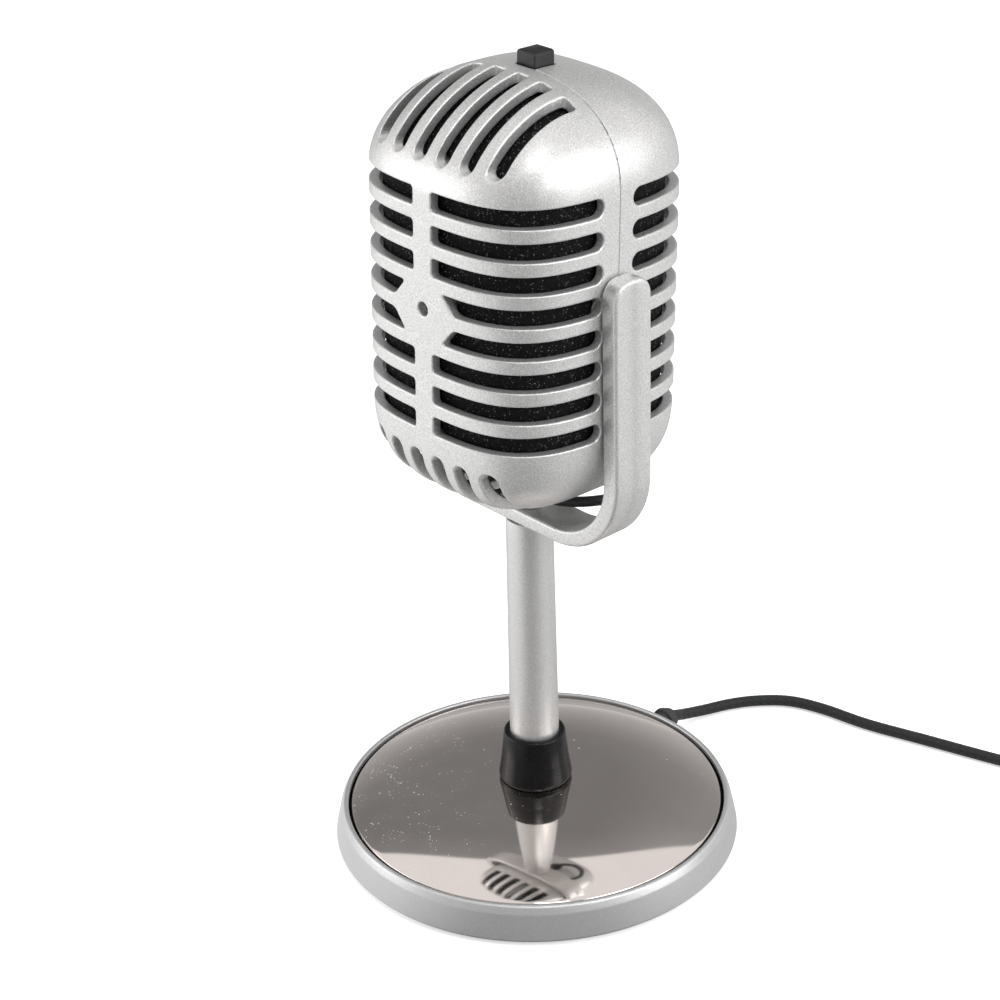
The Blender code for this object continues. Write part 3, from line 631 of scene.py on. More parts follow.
class Graph:
    """Builds the shader nodes of a material or world."""

    def __init__(self, owner):
        owner.use_nodes = True
        self.tree = owner.node_tree

    def feed(self, node, **values):
        """Sets or links inputs by name or, as i0 or i1, by place; _name sets a property."""
        for key, value in values.items():
            if key.startswith("_"):
                setattr(node, key[1:], value)
                continue
            socket = node.inputs[int(key[1:]) if key[1:].isdigit() else key.replace("_", " ")]
            if isinstance(value, bpy.types.NodeSocket):
                self.tree.links.new(value, socket)
            else:
                socket.default_value = value
        return node

    def node(self, kind, **values):
        return self.feed(self.tree.nodes.new("ShaderNode" + kind), **values)

    def spread(self, value, low, high, to_low=0.0, to_high=1.0, smooth=False):
        """Maps low..high to to_low..to_high and clamps it."""
        return self.node(
            "MapRange", _interpolation_type="SMOOTHSTEP" if smooth else "LINEAR",
            Value=value, From_Min=low, From_Max=high, To_Min=to_low, To_Max=to_high,
        ).outputs["Result"]

    def calc(self, operation, first, second=0.0):
        return self.node("Math", _operation=operation, i0=first, i1=second, i2=0.0).outputs[0]

    def dot(self, vector, direction):
        node = self.node("VectorMath", _operation="DOT_PRODUCT", i0=vector, i1=direction)
        return node.outputs["Value"]

    def mix(self, share, first, second):
        """Mixes two colours, each a socket or (r, g, b)."""
        first, second = [
            colour if isinstance(colour, bpy.types.NodeSocket) else (*colour, 1.0)
            for colour in (first, second)
        ]
        return self.node("Mix", _data_type="RGBA", i0=share, i6=first, i7=second).outputs[2]


class Look(Graph):
    """A new material, kept in LOOKS, with its Principled shader."""

    def __init__(self, name):
        self.mat = bpy.data.materials.new(name)
        super().__init__(self.mat)
        self.shader = self.tree.nodes["Principled BSDF"]
        LOOKS[name] = self.mat

    @functools.cached_property
    def coord(self):
        return self.node("TexCoord").outputs["Object"]

    def surface(self, **values):
        self.feed(self.shader, **values)

    def output(self, shader):
        self.feed(self.tree.nodes["Material Output"], Surface=shader.outputs[0])

    def noise(self, scale, detail=2.0, rough=0.5):
        return self.node(
            "TexNoise", Vector=self.coord, Scale=scale, Detail=detail, Roughness=rough
        ).outputs["Fac"]

    def cells(self, scale, output="Distance"):
        return self.node("TexVoronoi", Vector=self.coord, Scale=scale).outputs[output]

    def cell_value(self, scale, channel):
        """A random value for each cell."""
        colour = self.cells(scale, output="Color")
        return self.node("SeparateColor", Color=colour).outputs[channel]

    def mottle(self, field, low, high, first, second):
        return self.mix(self.spread(field, low, high), first, second)

    def bump(self, height, distance, strength):
        return self.node(
            "Bump", Height=height, Distance=distance, Strength=strength
        ).outputs["Normal"]


def shade(tone, factor, lift=0.0):
    return tuple(channel * factor + lift for channel in tone)


def satin_paint(name, grain, tone=(0.70, 0.70, 0.695), rough=0.36):
    """Silver paint: fine metal flake under a satin clear coat, a little mottled."""
    m = Look(name)
    fine = m.noise(scale=3300, detail=1.5, rough=0.6)
    broad = m.noise(scale=420, detail=3.0, rough=0.55)
    flake = m.cell_value(scale=5200, channel="Red")
    dark, light = shade(tone, 1 - 0.13 * grain), shade(tone, 1 + 0.11 * grain)
    base = m.mottle(fine, 0.33, 0.67, dark, light)
    base = m.mix(m.spread(broad, low=0.35, high=0.7, to_high=0.35), base, shade(tone, 0.94))
    flakes = m.spread(flake, low=0.90, high=1.0, to_high=0.4 * grain)
    height = m.calc("ADD", m.calc("MULTIPLY", fine, 0.7), m.calc("MULTIPLY", flake, 0.3))
    m.surface(
        Base_Color=m.mix(flakes, base, (0.97, 0.97, 0.97)),
        Metallic=0.72,
        Roughness=m.spread(fine, low=0.25, high=0.75, to_low=rough - 0.05, to_high=rough + 0.07),
        Normal=m.bump(height, distance=0.00005 * grain, strength=0.7),
        Coat_Weight=0.12,
        Coat_Roughness=0.28,
    )


def polished_plate(name):
    """Mirror-polished steel with faint haze, and dust that is thickest towards -X, -Y."""
    m = Look(name)
    haze = m.noise(scale=60, detail=3.0, rough=0.6)
    m.surface(
        Base_Color=m.mottle(haze, 0.35, 0.7, (0.82, 0.755, 0.722), (0.86, 0.795, 0.76)),
        Metallic=1.0,
        Roughness=m.spread(haze, low=0.3, high=0.8, to_low=0.045, to_high=0.075),
    )
    place = m.node("SeparateXYZ", Vector=m.coord).outputs
    side = m.calc("ADD", m.calc("MULTIPLY", place["X"], -0.74), m.calc("MULTIPLY", place["Y"], -0.67))
    mask = m.spread(side, low=-0.004, high=0.020, to_low=0.12)
    clump = m.spread(m.noise(scale=150, detail=3.0, rough=0.6), low=0.40, high=0.60)
    share = m.calc("MULTIPLY", mask, clump)

    def specks(scale, channel, least, amount):
        """Round specks in the cells whose random value is over the least."""
        size = m.spread(m.cell_value(scale, channel), low=least, high=1.0)
        return m.calc("LESS_THAN", m.cells(scale), m.calc("MULTIPLY", size, amount))

    clumped = specks(1500, "Green", least=0.35, amount=m.calc("MULTIPLY", share, 0.42))
    stray = specks(520, "Blue", least=0.9, amount=0.13)
    dust = m.calc("MULTIPLY", m.calc("MAXIMUM", clumped, stray), 0.6)
    dust = m.calc("ADD", dust, m.calc("MULTIPLY", share, 0.02))
    grit = m.node("BsdfDiffuse", Color=(0.62, 0.60, 0.58, 1.0)).outputs["BSDF"]
    m.output(m.node("MixShader", i0=dust, i1=m.shader.outputs["BSDF"], i2=grit))


def moulded(name, tone, rough=0.42, grain_scale=2600, depth=0.000012, specular=0.5):
    """Moulded plastic: even colour with slight mottling and a fine spark-eroded grain."""
    m = Look(name)
    fine = m.noise(grain_scale, detail=3.0, rough=0.6)
    broad = m.noise(scale=260, detail=3.0, rough=0.55)
    m.surface(
        Base_Color=m.mottle(broad, 0.3, 0.75, tone, shade(tone, 1.35, lift=0.002)),
        Roughness=m.spread(fine, low=0.25, high=0.75, to_low=rough - 0.06, to_high=rough + 0.08),
        Normal=m.bump(fine, distance=depth, strength=0.6),
        Specular_IOR_Level=specular,
    )


def rubbery(name, tone=(0.028, 0.028, 0.029), rough=0.7):
    m = Look(name)
    fine = m.noise(scale=1800, detail=4.0, rough=0.65)
    broad = m.noise(scale=220, detail=3.0, rough=0.6)
    m.surface(
        Base_Color=m.mottle(broad, 0.35, 0.75, tone, shade(tone, 1.6, lift=0.004)),
        Roughness=m.spread(fine, low=0.3, high=0.7, to_low=rough - 0.08, to_high=rough + 0.12),
        Normal=m.bump(fine, distance=0.00004, strength=0.6),
    )


def plated(name, tone, rough, turned=True):
    """Plated metal with a little stain; turned parts have fine lines round the axis."""
    m = Look(name)
    stain = m.noise(scale=300, detail=4.0, rough=0.6)
    height = m.noise(scale=5200, detail=2.0, rough=0.5)
    if turned:
        place = m.node("SeparateXYZ", Vector=m.coord).outputs
        squares = [m.calc("POWER", place[axis], 2.0) for axis in "XY"]
        radius = m.calc("SQRT", m.calc("ADD", *squares))
        lines = m.calc("MULTIPLY", m.calc("ADD", radius, place["Z"]), 38000)
        lines = m.calc("MULTIPLY", m.calc("SINE", lines), 0.12)
        height = m.calc("ADD", m.calc("MULTIPLY", height, 0.6), lines)
    m.surface(
        Base_Color=m.mottle(stain, 0.35, 0.75, tone, shade(tone, 0.82)),
        Metallic=1.0,
        Roughness=m.spread(stain, low=0.3, high=0.75, to_low=rough - 0.05, to_high=rough + 0.1),
        Normal=m.bump(height, distance=0.000012, strength=0.5),
    )


def cast_iron(name):
    m = Look(name)
    lumps = m.noise(scale=900, detail=5.0, rough=0.65)
    rust = m.spread(m.noise(scale=240, detail=4.0, rough=0.6), low=0.55, high=0.72)
    base = m.mix(lumps, (0.10, 0.10, 0.10), (0.19, 0.185, 0.18))
    m.surface(
        Base_Color=m.mix(m.calc("MULTIPLY", rust, 0.4), base, (0.20, 0.10, 0.05)),
        Metallic=0.75,
        Roughness=m.spread(lumps, low=0.3, high=0.75, to_low=0.5, to_high=0.75),
        Normal=m.bump(lumps, distance=0.00018, strength=0.7),
    )


def foam_look(name, pore_scale=3600):
    """Black open-cell foam, with painted glints: a few random cells get a bright base colour standing
    in for cell walls that catch the light here and there.
    """
    m = Look(name)
    pores = m.cells(pore_scale)
    fine = m.noise(scale=5200, detail=3.0, rough=0.65)
    pick = m.cell_value(pore_scale, channel="Red")
    chosen = 0.84  # cells over this random value get a painted glint
    middle = m.calc("LESS_THAN", pores, 0.42)
    painted_glint = m.calc("MULTIPLY", middle, m.calc("GREATER_THAN", pick, chosen))
    bright = m.calc("POWER", m.spread(pick, low=chosen, high=1.0, to_low=0.18, to_high=0.72), 2.2)
    painted_glint = m.calc("MULTIPLY", painted_glint, bright)
    base = m.mottle(fine, 0.3, 0.75, (0.001, 0.001, 0.001), (0.010, 0.010, 0.0105))
    walls = m.calc("MULTIPLY", m.calc("SUBTRACT", 1.0, pores), 0.6)
    height = m.calc("ADD", walls, m.calc("MULTIPLY", fine, 0.7))
    m.surface(
        # Painted highlight: the glint cells get a light grey base colour on the black foam.
        Base_Color=m.mix(painted_glint, base, (0.62, 0.62, 0.62)),
        Roughness=m.spread(fine, low=0.3, high=0.7, to_low=0.65, to_high=0.95),
        Specular_IOR_Level=0.2,
        Normal=m.bump(height, distance=0.00025, strength=0.9),
    )


def braid_look(name):
    """Woven sleeve: each strand is a flat bundle of threads."""
    m = Look(name)
    height, strand, thread = [
        m.node("Attribute", _attribute_name=label).outputs["Fac"]
        for label in ("weave", "strand", "thread")
    ]
    fine = m.noise(scale=6000, detail=3.0, rough=0.6)
    # Painted shade and highlight: the weave's low places are painted darker and its raised places
    # lighter.
    lit = m.mottle(height, 0.1, 0.95, (0.002, 0.002, 0.0022), (0.018, 0.0185, 0.020))
    strands = m.calc("MULTIPLY", m.spread(strand, low=0.2, high=1.0), 0.35)
    lit = m.mix(strands, lit, (0.042, 0.043, 0.046))
    threads = m.calc("MULTIPLY", m.spread(thread, low=0.3, high=0.9), 0.3)
    relief = m.calc("ADD", m.calc("MULTIPLY", thread, 0.7), m.calc("MULTIPLY", fine, 0.4))
    m.surface(
        Base_Color=m.mix(threads, lit, (0.012, 0.012, 0.013)),
        Roughness=m.spread(fine, low=0.3, high=0.7, to_low=0.5, to_high=0.75),
        Sheen_Weight=0.12,
        Specular_IOR_Level=0.3,
        Normal=m.bump(relief, distance=0.00005, strength=0.7),
    )


def board_look(name):
    m = Look(name)
    tracks = m.node(
        "TexBrick", Vector=m.coord, Scale=260.0,
        Color1=(0.02, 0.13, 0.055, 1.0), Color2=(0.025, 0.17, 0.07, 1.0),
        Mortar=(0.05, 0.27, 0.12, 1.0), Mortar_Size=0.03,
    ).outputs
    m.surface(
        Base_Color=tracks["Color"],
        Roughness=m.spread(m.noise(scale=900), low=0.3, high=0.7, to_low=0.25, to_high=0.4),
        Normal=m.bump(tracks["Fac"], distance=0.00003, strength=0.5),
    )


satin_paint("satin_head", grain=1.6)
satin_paint("satin_fork", grain=1.5)
satin_paint("satin_stem", grain=0.9)
satin_paint("satin_rim", grain=0.45, tone=(0.64, 0.64, 0.645), rough=0.38)
polished_plate("mirror_plate")
moulded("collar_plastic", (0.003, 0.003, 0.0033), rough=0.24, depth=0.000006, specular=0.25)
moulded("button_plastic", (0.007, 0.007, 0.008), rough=0.44)
moulded("switch_plastic", (0.02, 0.02, 0.02), rough=0.5)
moulded("plug_plastic", (0.02, 0.02, 0.021), rough=0.5, grain_scale=1500, depth=0.00003)
moulded("black_cover", (0.02, 0.02, 0.021), rough=0.5, grain_scale=900, depth=0.00005)
moulded("lead_sheath", (0.012, 0.012, 0.013), rough=0.34, grain_scale=1500, depth=0.00001)
rubbery("black_rubber")
rubbery("soft_pad", tone=(0.03, 0.03, 0.031), rough=0.85)
# Near-black material painted as shade in the gap round the base's disc.
moulded(
    "painted_gap_shade", (0.004, 0.004, 0.004), rough=0.8, grain_scale=900, depth=0.00002, specular=0.1
)
foam_look("black_foam")
braid_look("black_braid")
plated("zinc_steel", tone=(0.62, 0.62, 0.60), rough=0.3)
plated("capsule_metal", tone=(0.72, 0.72, 0.72), rough=0.25)
plated("plug_metal", tone=(0.74, 0.74, 0.74), rough=0.16, turned=False)
plated("brass_bush", tone=(0.70, 0.52, 0.22), rough=0.28)
cast_iron("cast_weight")
moulded("white_nylon", (0.72, 0.72, 0.69), rough=0.45, grain_scale=1200, depth=0.00002)
board_look("board_green")

# CAD nodes that stay, by material.
KEPT = {
    "cast_weight": ["base_weight"],
    "black_cover": ["base_bottom_cover"],
    "zinc_steel": [
        "base_screw_1", "base_screw_2", "base_screw_3", "base_screw_4",
        "lower_nipple", "base_washer", "base_nut", "yoke_nut",
        "head_screw_top", "head_screw_bottom", "pivot_pin_left", "pivot_pin_right",
    ],
    "brass_bush": ["stem_plug"],
    "white_nylon": ["swivel_washer", "pivot_washer_left", "pivot_washer_right", "switch_plunger"],
    "capsule_metal": ["mic_capsule"],
    "black_rubber": ["capsule_boot"],
    "board_green": ["circuit_board"],
    "switch_plastic": ["switch_body"],
}
for look, names in KEPT.items():
    for name in names:
        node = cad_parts[name]
        if not node.material_slots:
            node.data.materials.append(LOOKS[look])
        for slot in node.material_slots:
            slot.material = LOOKS[look]

# ------------------------------------------------------------ head


def head_shells():
    step = 0.3
    for name, field, low, high, node in (
        ("front_grille", front_field, (-28.2, -27.9, 87.4), (28.2, 2.9, 177.9), "head_front_shell"),
        ("rear_grille", rear_field, (-28.2, -0.6, 87.4), (28.2, 27.9, 177.9), "head_rear_shell"),
    ):
        obj = add_field(name, field, low, high, step)
        finish(obj, "head", "satin_head", node, in_head=True)


def foam_field(front, noise):
    """Rough sheet of foam under a shell, cut round the posts, the ring and the pivots."""
    outer, inner = 2.75, 3.9  # depths of the sheet's faces below the skin
    joint_gap = 0.8
    front_low, rear_low, rear_high = 103.2, 105, 161
    post_r, ring_r, ring_end, pivot_r = 3.5, 7.3, -10, 5.3

    def field(x, y, z):
        skin = skin_distance(x, y, z)
        rough = 0.16 * noise(x, y, z, 0.9) + 0.06 * noise(x + 9, y, z, 0.45)
        sheet = np.maximum(skin + outer + rough, -(skin + inner))
        if front:
            ragged = front_low - z + 0.5 * noise(x, y, z, 2.5)
            sheet = overlap(sheet, y + joint_gap, ragged)
        else:
            sheet = overlap(sheet, joint_gap - y, rear_low - z, z - rear_high)
        for post_z in POST_Z:
            sheet = np.maximum(sheet, -rod_y(x, z, post_z, post_r))
        sheet = np.maximum(sheet, -np.maximum(rod_y(x, z, PIVOT_Z, ring_r), y - ring_end))
        return np.maximum(sheet, -rod_x(y, z, pivot_r))

    return field


def foam_liners():
    step = 0.45
    noise = lattice_noise(seed=7)
    for side, front, low, high in (
        ("front", True, (-25.5, -25.2, 88.5), (25.5, 0.5, 175.5)),
        ("rear", False, (-25.5, -0.5, 102.0), (25.5, 25.2, 163.0)),
    ):
        obj = add_field(side + "_liner", foam_field(front, noise), low, high, step)
        finish(obj, "head", "black_foam", side + "_foam", in_head=True)


def lead_grommet():
    bore, neck = 1.42, 2.2
    outline = [
        (bore, 87.3), (3.2, 87.5), (3.3, 88.15), (neck, 88.3),
        (neck, 92.9), (2.9, 93.1), (2.9, 93.8), (bore, 94.0),
    ]
    obj = add_turned("lead_grommet", outline, radii=0.12, arc_steps=3, steps=48)
    obj.data.transform(Matrix.Translation((0, LEAD_Y * MM, 0)))
    finish(obj, "head", "black_rubber", "head_grommet", in_head=True)


def push_button():
    """Square button with softened corners, crowned along X, on a flange inside the shell."""
    half, corner, top, edge, crown = 2.65, 0.3, 179.98, 0.38, 0.078
    flange_y = 3.35

    def ring(half_x, half_y, radius, z, centre_y=BUTTON_Y, crown=0):
        outline = rounded_rectangle(half_x, half_y, radius)
        return [(x, centre_y + y, z - crown * x * x) for x, y in outline]

    sections = [
        ring(3.3, 3.05, 0.3, 172.1, flange_y),
        ring(3.4, 3.15, 0.35, 172.25, flange_y),
        ring(3.4, 3.15, 0.35, 173.1, flange_y),
        ring(half, half, corner, 173.2),
        ring(half, half, corner, 178.4),
    ]
    for k in range(7):
        angle = math.pi / 2 * k / 6
        side = half - edge * (1 - math.cos(angle))
        z = top - edge + edge * math.sin(angle)
        sections.append(ring(side, side, corner, z, crown=crown))
    for share in (0.7, 0.4, 0.12):
        side = (half - edge) * share
        sections.append(ring(side, side, 0.25 * share, top, crown=crown))
    obj = outward(add_mesh("push_button", *loft(sections), sharp=50))
    finish(obj, "button", "button_plastic", "button_cap", in_head=True)


# ------------------------------------------------------------ fork

ARM_IN, ARM_T, ARM_W, ARM_TOP = 27.5, 4.1, 10.0, 141.5
ARM_CORNER = 4.2  # corner radius of the arm's top, seen from the side
BAR_Z, BAR_T = 78.8, 3.4
BEND_IN = 15.4  # inner radius of the bend
STRIP_EDGE, GROOVE = 0.85, 0.10


def strip_ring(face, middle, thick, wide, groove):
    """Section of the strip: rounded edges, and a hairline along the middle of the outer face."""
    outer = min(STRIP_EDGE, thick / 2 - 0.02, wide / 2 - 0.02)
    inner = outer * 0.8
    out = []
    for side_u, side_v, start, radius in (
        (1, 1, 0, outer), (-1, 1, 90, inner), (-1, -1, 180, inner), (1, -1, 270, outer)
    ):
        for k in range(6):
            angle = math.radians(start + 90 * k / 5)
            u = side_u * (thick / 2 - radius) + radius * math.cos(angle)
            v = side_v * (wide / 2 - radius) + radius * math.sin(angle)
            out.append((u, v))
    out += [(thick / 2 - depth, v) for v, depth in (
        (-0.22, 0.0), (-0.1, groove), (0.1, groove), (0.22, 0.0)
    )]
    return [middle + face * u + np.array([0, v, 0]) for u, v in out]


def fork_strip():
    """U of flat strip, worked out from the top of the +X arm to the middle and then mirrored."""
    rings = []
    sideways, down = np.array([1.0, 0, 0]), np.array([0, 0, -1.0])
    arm_x = ARM_IN + ARM_T / 2
    for k in range(15):
        angle = math.pi / 2 * k / 14
        depth = ARM_CORNER * (1 - math.cos(angle)) + 0.002
        wide = ARM_W - 2 * ARM_CORNER + 2 * ARM_CORNER * math.sin(angle)
        cap = min(depth, STRIP_EDGE) / STRIP_EDGE
        thick = ARM_T - 2 * STRIP_EDGE * (1 - math.sqrt(1 - (1 - cap) ** 2))
        groove = 0.0 if depth < 1.0 else GROOVE
        rings.append(
            strip_ring(sideways, np.array([arm_x, 0, ARM_TOP - depth]), thick, wide, groove)
        )
    for z in (136.0, 132.0, 128.0, 120.0, 110.0, 104.0):
        rings.append(strip_ring(sideways, np.array([arm_x, 0, z]), ARM_T, ARM_W, GROOVE))
    bend_centre = np.array([ARM_IN - BEND_IN, 0, BAR_Z + BAR_T + BEND_IN])
    for k in range(33):
        angle = math.radians(90 * k / 32)
        face = np.array([math.cos(angle), 0, -math.sin(angle)])
        thick = ARM_T + (BAR_T - ARM_T) * k / 32
        middle = bend_centre + face * (BEND_IN + thick / 2)
        rings.append(strip_ring(face, middle, thick, ARM_W, GROOVE if k < 16 else 0.0))
    for x in (9.0, 6.0, 3.6, 2.0):
        rings.append(strip_ring(down, np.array([x, 0, BAR_Z + BAR_T / 2]), BAR_T, ARM_W, 0.0))
    rings = np.array(rings)
    mirrored = rings[::-1] * np.array([-1, 1, 1])
    sections = np.concatenate([rings, mirrored])
    obj = outward(add_mesh("fork_strip", *loft(sections), sharp=60))
    finish(obj, "fork", "satin_fork", "yoke")


def hollow_bolt():
    shank, head = 2.68, 4.3
    outline = [
        (BOLT_BORE, 64.0), (shank, 64.0), (shank, 82.3), (head, 82.3),
        (head, 83.2), (3.9, 83.5), (2.3, 83.5), (BOLT_BORE, 82.5),
    ]
    obj = add_turned("hollow_bolt", outline, radii=0.12, arc_steps=3, steps=64)
    finish(obj, "fork", "zinc_steel", "yoke_bolt")


# ------------------------------------------------------------ base and stem

DISC_R, DISC_TOP, DISC_FALL, DISC_POWER = 41.2, 13.7, 5.5, 3.1


def base_ring():
    """Outer ring; its faces in the gap round the disc get painted shade, a near-black material
    standing in for the gap's shadow.
    """
    lip, step, inner = 41.85, 41.7, 36.5
    outline = [
        (44.35, 0.7), (44.85, 1.3), (43.62, 7.0), (42.85, 8.72), (lip, 8.72), (lip, 7.55),
        (lip, 6.2), (inner, 6.2), (inner, 2.6), (step, 2.6), (step, 0.7),
    ]
    radii = [0.3, 0.5, 2.2, 0.9, 0.35, 0, 0, 0.3, 0.3, 0, 0.2]
    obj = add_turned("base_ring", outline, radii, arc_steps=8, steps=256)
    finish(obj, "base", "satin_rim", "base_housing")
    # Painted shade: faces low in the gap round the disc get the near-black material.
    obj.data.materials.append(LOOKS["painted_gap_shade"])
    gap_r, gap_top = 42.0 * MM, 7.6 * MM
    for face in obj.data.polygons:
        if math.hypot(face.center.x, face.center.y) < gap_r and face.center.z < gap_top:
            face.material_index = 1


def mirror_disc():
    """Domed disc with a turned-down rim."""
    thickness = 1.2
    rim_t, rim_low = 1.1, 6.5

    def dome(radius, drop=0.0):
        return DISC_TOP - drop - DISC_FALL * (radius / DISC_R) ** DISC_POWER

    profile = [(r, dome(r)) for r in np.linspace(STEM_BORE, DISC_R - 1.0, 44)]
    rim = [profile[-1], (DISC_R, dome(DISC_R)), (DISC_R, rim_low), (DISC_R - rim_t, rim_low)]
    profile += fillet(rim, [0, 0.55, 0.1, 0], 7)[1:]
    profile += [(r, dome(r, thickness)) for r in np.linspace(DISC_R - 1.5, STEM_BORE, 24)]
    obj = add_mesh("mirror_disc", *lathe(profile, 256), sharp=45)
    finish(obj, "base", "mirror_plate", "base_plate")


def underside_pad():
    radius, thick = 40.5, 1.0
    outline = [(0, 0), (radius, 0), (radius, thick), (0, thick)]
    obj = add_turned("underside_pad", outline, [0, 0.3, 0.2, 0], arc_steps=4, steps=128)
    finish(obj, "base", "soft_pad", "base_pad")


def cable_bush():
    """Bush round the cable's way out, turned about Z and then laid along it."""
    neck, collar = 2.35, 3.1
    outline = [
        (BOLT_BORE, 41.95), (neck, 41.95), (neck, 45.6), (collar, 45.7),
        (collar, 46.7), (2.2, 48.6), (BOLT_BORE, 48.8),
    ]
    radii = [0, 0, 0.1, 0.3, 0.35, 0.3, 0.1]
    obj = outward(add_turned("cable_bush", outline, radii, arc_steps=5, steps=48))
    laid = Matrix.Translation((0, 0, CABLE_Z * MM)) @ Matrix.Rotation(math.radians(-90), 4, "X")
    obj.data.transform(Matrix.Rotation(CABLE_TURN, 4, "Z") @ laid)
    finish(obj, "base", "black_rubber", "cable_grommet")


def stem_foot():
    bore, low, high = 5.5, 13.8, 25.7
    outline = [(bore, low), (7.72, low), (8.1, 14.7), (7.43, 19.0), (6.75, high), (bore, high)]
    radii = [0, 0.18, 1.1, 12.0, 0.75, 0.25]
    obj = add_turned("stem_foot", outline, radii, arc_steps=8, steps=96)
    finish(obj, "base", "collar_plastic", "stem_collar")


def stem_sleeve():
    low, high = 13.85, 78.55
    outline = [
        (STEM_BORE, low), (5.4, low), (5.4, 26), (5.05, 74), (5.0, high), (STEM_BORE, high)
    ]
    obj = add_turned("stem_sleeve", outline, [0, 0.1, 0, 0, 0.3, 0.1], arc_steps=5, steps=96)
    finish(obj, "base", "satin_stem", "stem_tube")


# ------------------------------------------------------------ lead and cable

# Lead: (x, y, z) from inside the stem up to the head.
LEAD_BELOW = [
    (0, 0, 57.5), (0, 0, 70), (0, 0, 80), (0.2, -0.1, 83.2), (2.5, -0.4, 85.15),
    (7.5, -0.6, 85.4), (11.6, 2.0, 85.3), (15.0, 6.0, 85.4), (16.4, 11.0, 85.2),
    (12.8, 15.2, 84.6), (6.8, 15.8, 84.0), (2.0, 12.9, 84.0),
]
# The rest of the lead, before the head is tilted.
LEAD_IN_HEAD = [
    (0, LEAD_Y, 86.6), (0, LEAD_Y, 88.6), (0, LEAD_Y, 91.0), (0, LEAD_Y, 94.6),
    (2.5, 11.0, 97), (6.5, 8.0, 101), (8.0, 5.4, 106), (8.0, 5.3, 111),
]
# Cable: (x, y, z) down the stem, (distance out, z) through the base, (x, y, z) on the floor.
CABLE_IN_STEM = [(0, 0, 55), (0, 0, 40), (0, 0, 25), (0, 0, 12)]
CABLE_IN_BASE = [
    (1.2, 6.6), (5.5, 5.0), (20, CABLE_Z), (36, CABLE_Z), (44, CABLE_Z), (48.8, 4.8)
]
CABLE_ON_FLOOR = [
    (-6.1, 53.5, 2.9), (-5.3, 60, 1.6), (-3.2, 66.5, 1.3), (0.4, 72.3, 1.3), (6.0, 77.6, 1.3),
    (14.0, 80.6, 1.3), (26.0, 82.9, 1.3), (40.0, 87.3, 1.3), (57.0, 92.6, 1.3),
    (72.0, 97.6, 1.5), (84.0, 101.5, 3.4), (PLUG_PLACE[0], PLUG_PLACE[1], 4.3),
    (PLUG_PLACE[0] + PLUG_RUN[0], PLUG_PLACE[1] + PLUG_RUN[1], PLUG_PLACE[2]),
]
LEAD_R = 1.13
STRANDS, LAY = 8, 2.05  # strands each way round, and the length in which one moves on by one
WEAVE_R, WEAVE_DEPTH = 1.16, 0.15


def head_wire():
    tilted = [tuple(v / MM for v in HEAD @ (Vector(place) * MM)) for place in LEAD_IN_HEAD]
    path = cord_path(LEAD_BELOW + tilted, steps=12, spacing=0.5, rounds=3)
    obj = outward(add_mesh("head_wire", *loft(cord(path, LEAD_R, sides=24)), sharp=60))
    obj.data.materials.append(LOOKS["lead_sheath"])
    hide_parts("head_lead")
    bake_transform(obj)


def weave_parts(travel, angle):
    """Height of the braid, which set of strands is on top, and its threads."""
    around = angle * STRANDS / (2 * np.pi)
    rising, falling = around + travel / LAY, around - travel / LAY
    shares, heights = [], []
    for this, other, sign in ((rising, falling, 1), (falling, rising, -1)):
        share = this - np.floor(this)
        even = np.where(np.floor(this) % 2 == 0, 1.0, -1.0)
        lift = sign * np.cos(np.pi * (other - 0.5)) * even
        heights.append(0.5 * lift + np.sqrt(np.maximum(0, 1 - (2 * share - 1) ** 4)) * 0.8)
        shares.append(share)
    over = heights[0] > heights[1]
    thread = np.abs(np.sin(np.pi * 4 * np.where(over, *shares)))
    return np.clip(np.maximum(*heights) / 1.3, 0, 1), np.where(over, 0.2, 0.8), thread


def braided_cable():
    sine, cosine = math.sin(CABLE_TURN), math.cos(CABLE_TURN)
    in_base = [(-out * sine, out * cosine, z) for out, z in CABLE_IN_BASE]
    stations = CABLE_IN_STEM + in_base + CABLE_ON_FLOOR
    path = cord_path(stations, steps=14, spacing=0.2, rounds=12)
    sides = 56
    parts = weave_parts(distances(path)[:, None], ring_angles(sides)[None, :])
    rings = cord(path, WEAVE_R + WEAVE_DEPTH * parts[0], sides)
    obj = add_mesh("braided_cable", *loft(rings), sharp=180)
    for label, values in zip(("weave", "strand", "thread"), parts):
        attribute = obj.data.attributes.new(label, "FLOAT", "POINT")
        attribute.data.foreach_set("value", values.astype(np.float32).ravel())
    outward(obj)
    finish(obj, "base", "black_braid", "main_cable")


# ------------------------------------------------------------ plug

# The plug is built along +X from its cable end.
PLUG = Matrix.Translation(Vector(PLUG_PLACE) * MM) @ Matrix.Rotation(
    math.atan2(PLUG_RUN[1], PLUG_RUN[0]), 4, "Z"
)
GRIP_Y, GRIP_Z, GRIP_CORNER = 7.9, 4.2, 1.6  # half-sizes and corner radius
RELIEF_START, RELIEF_END = 2.0, 11.0


def plug_ring(x, half_y, half_z, radius):
    return [(x, y, z) for y, z in rounded_rectangle(half_y, half_z, radius)]


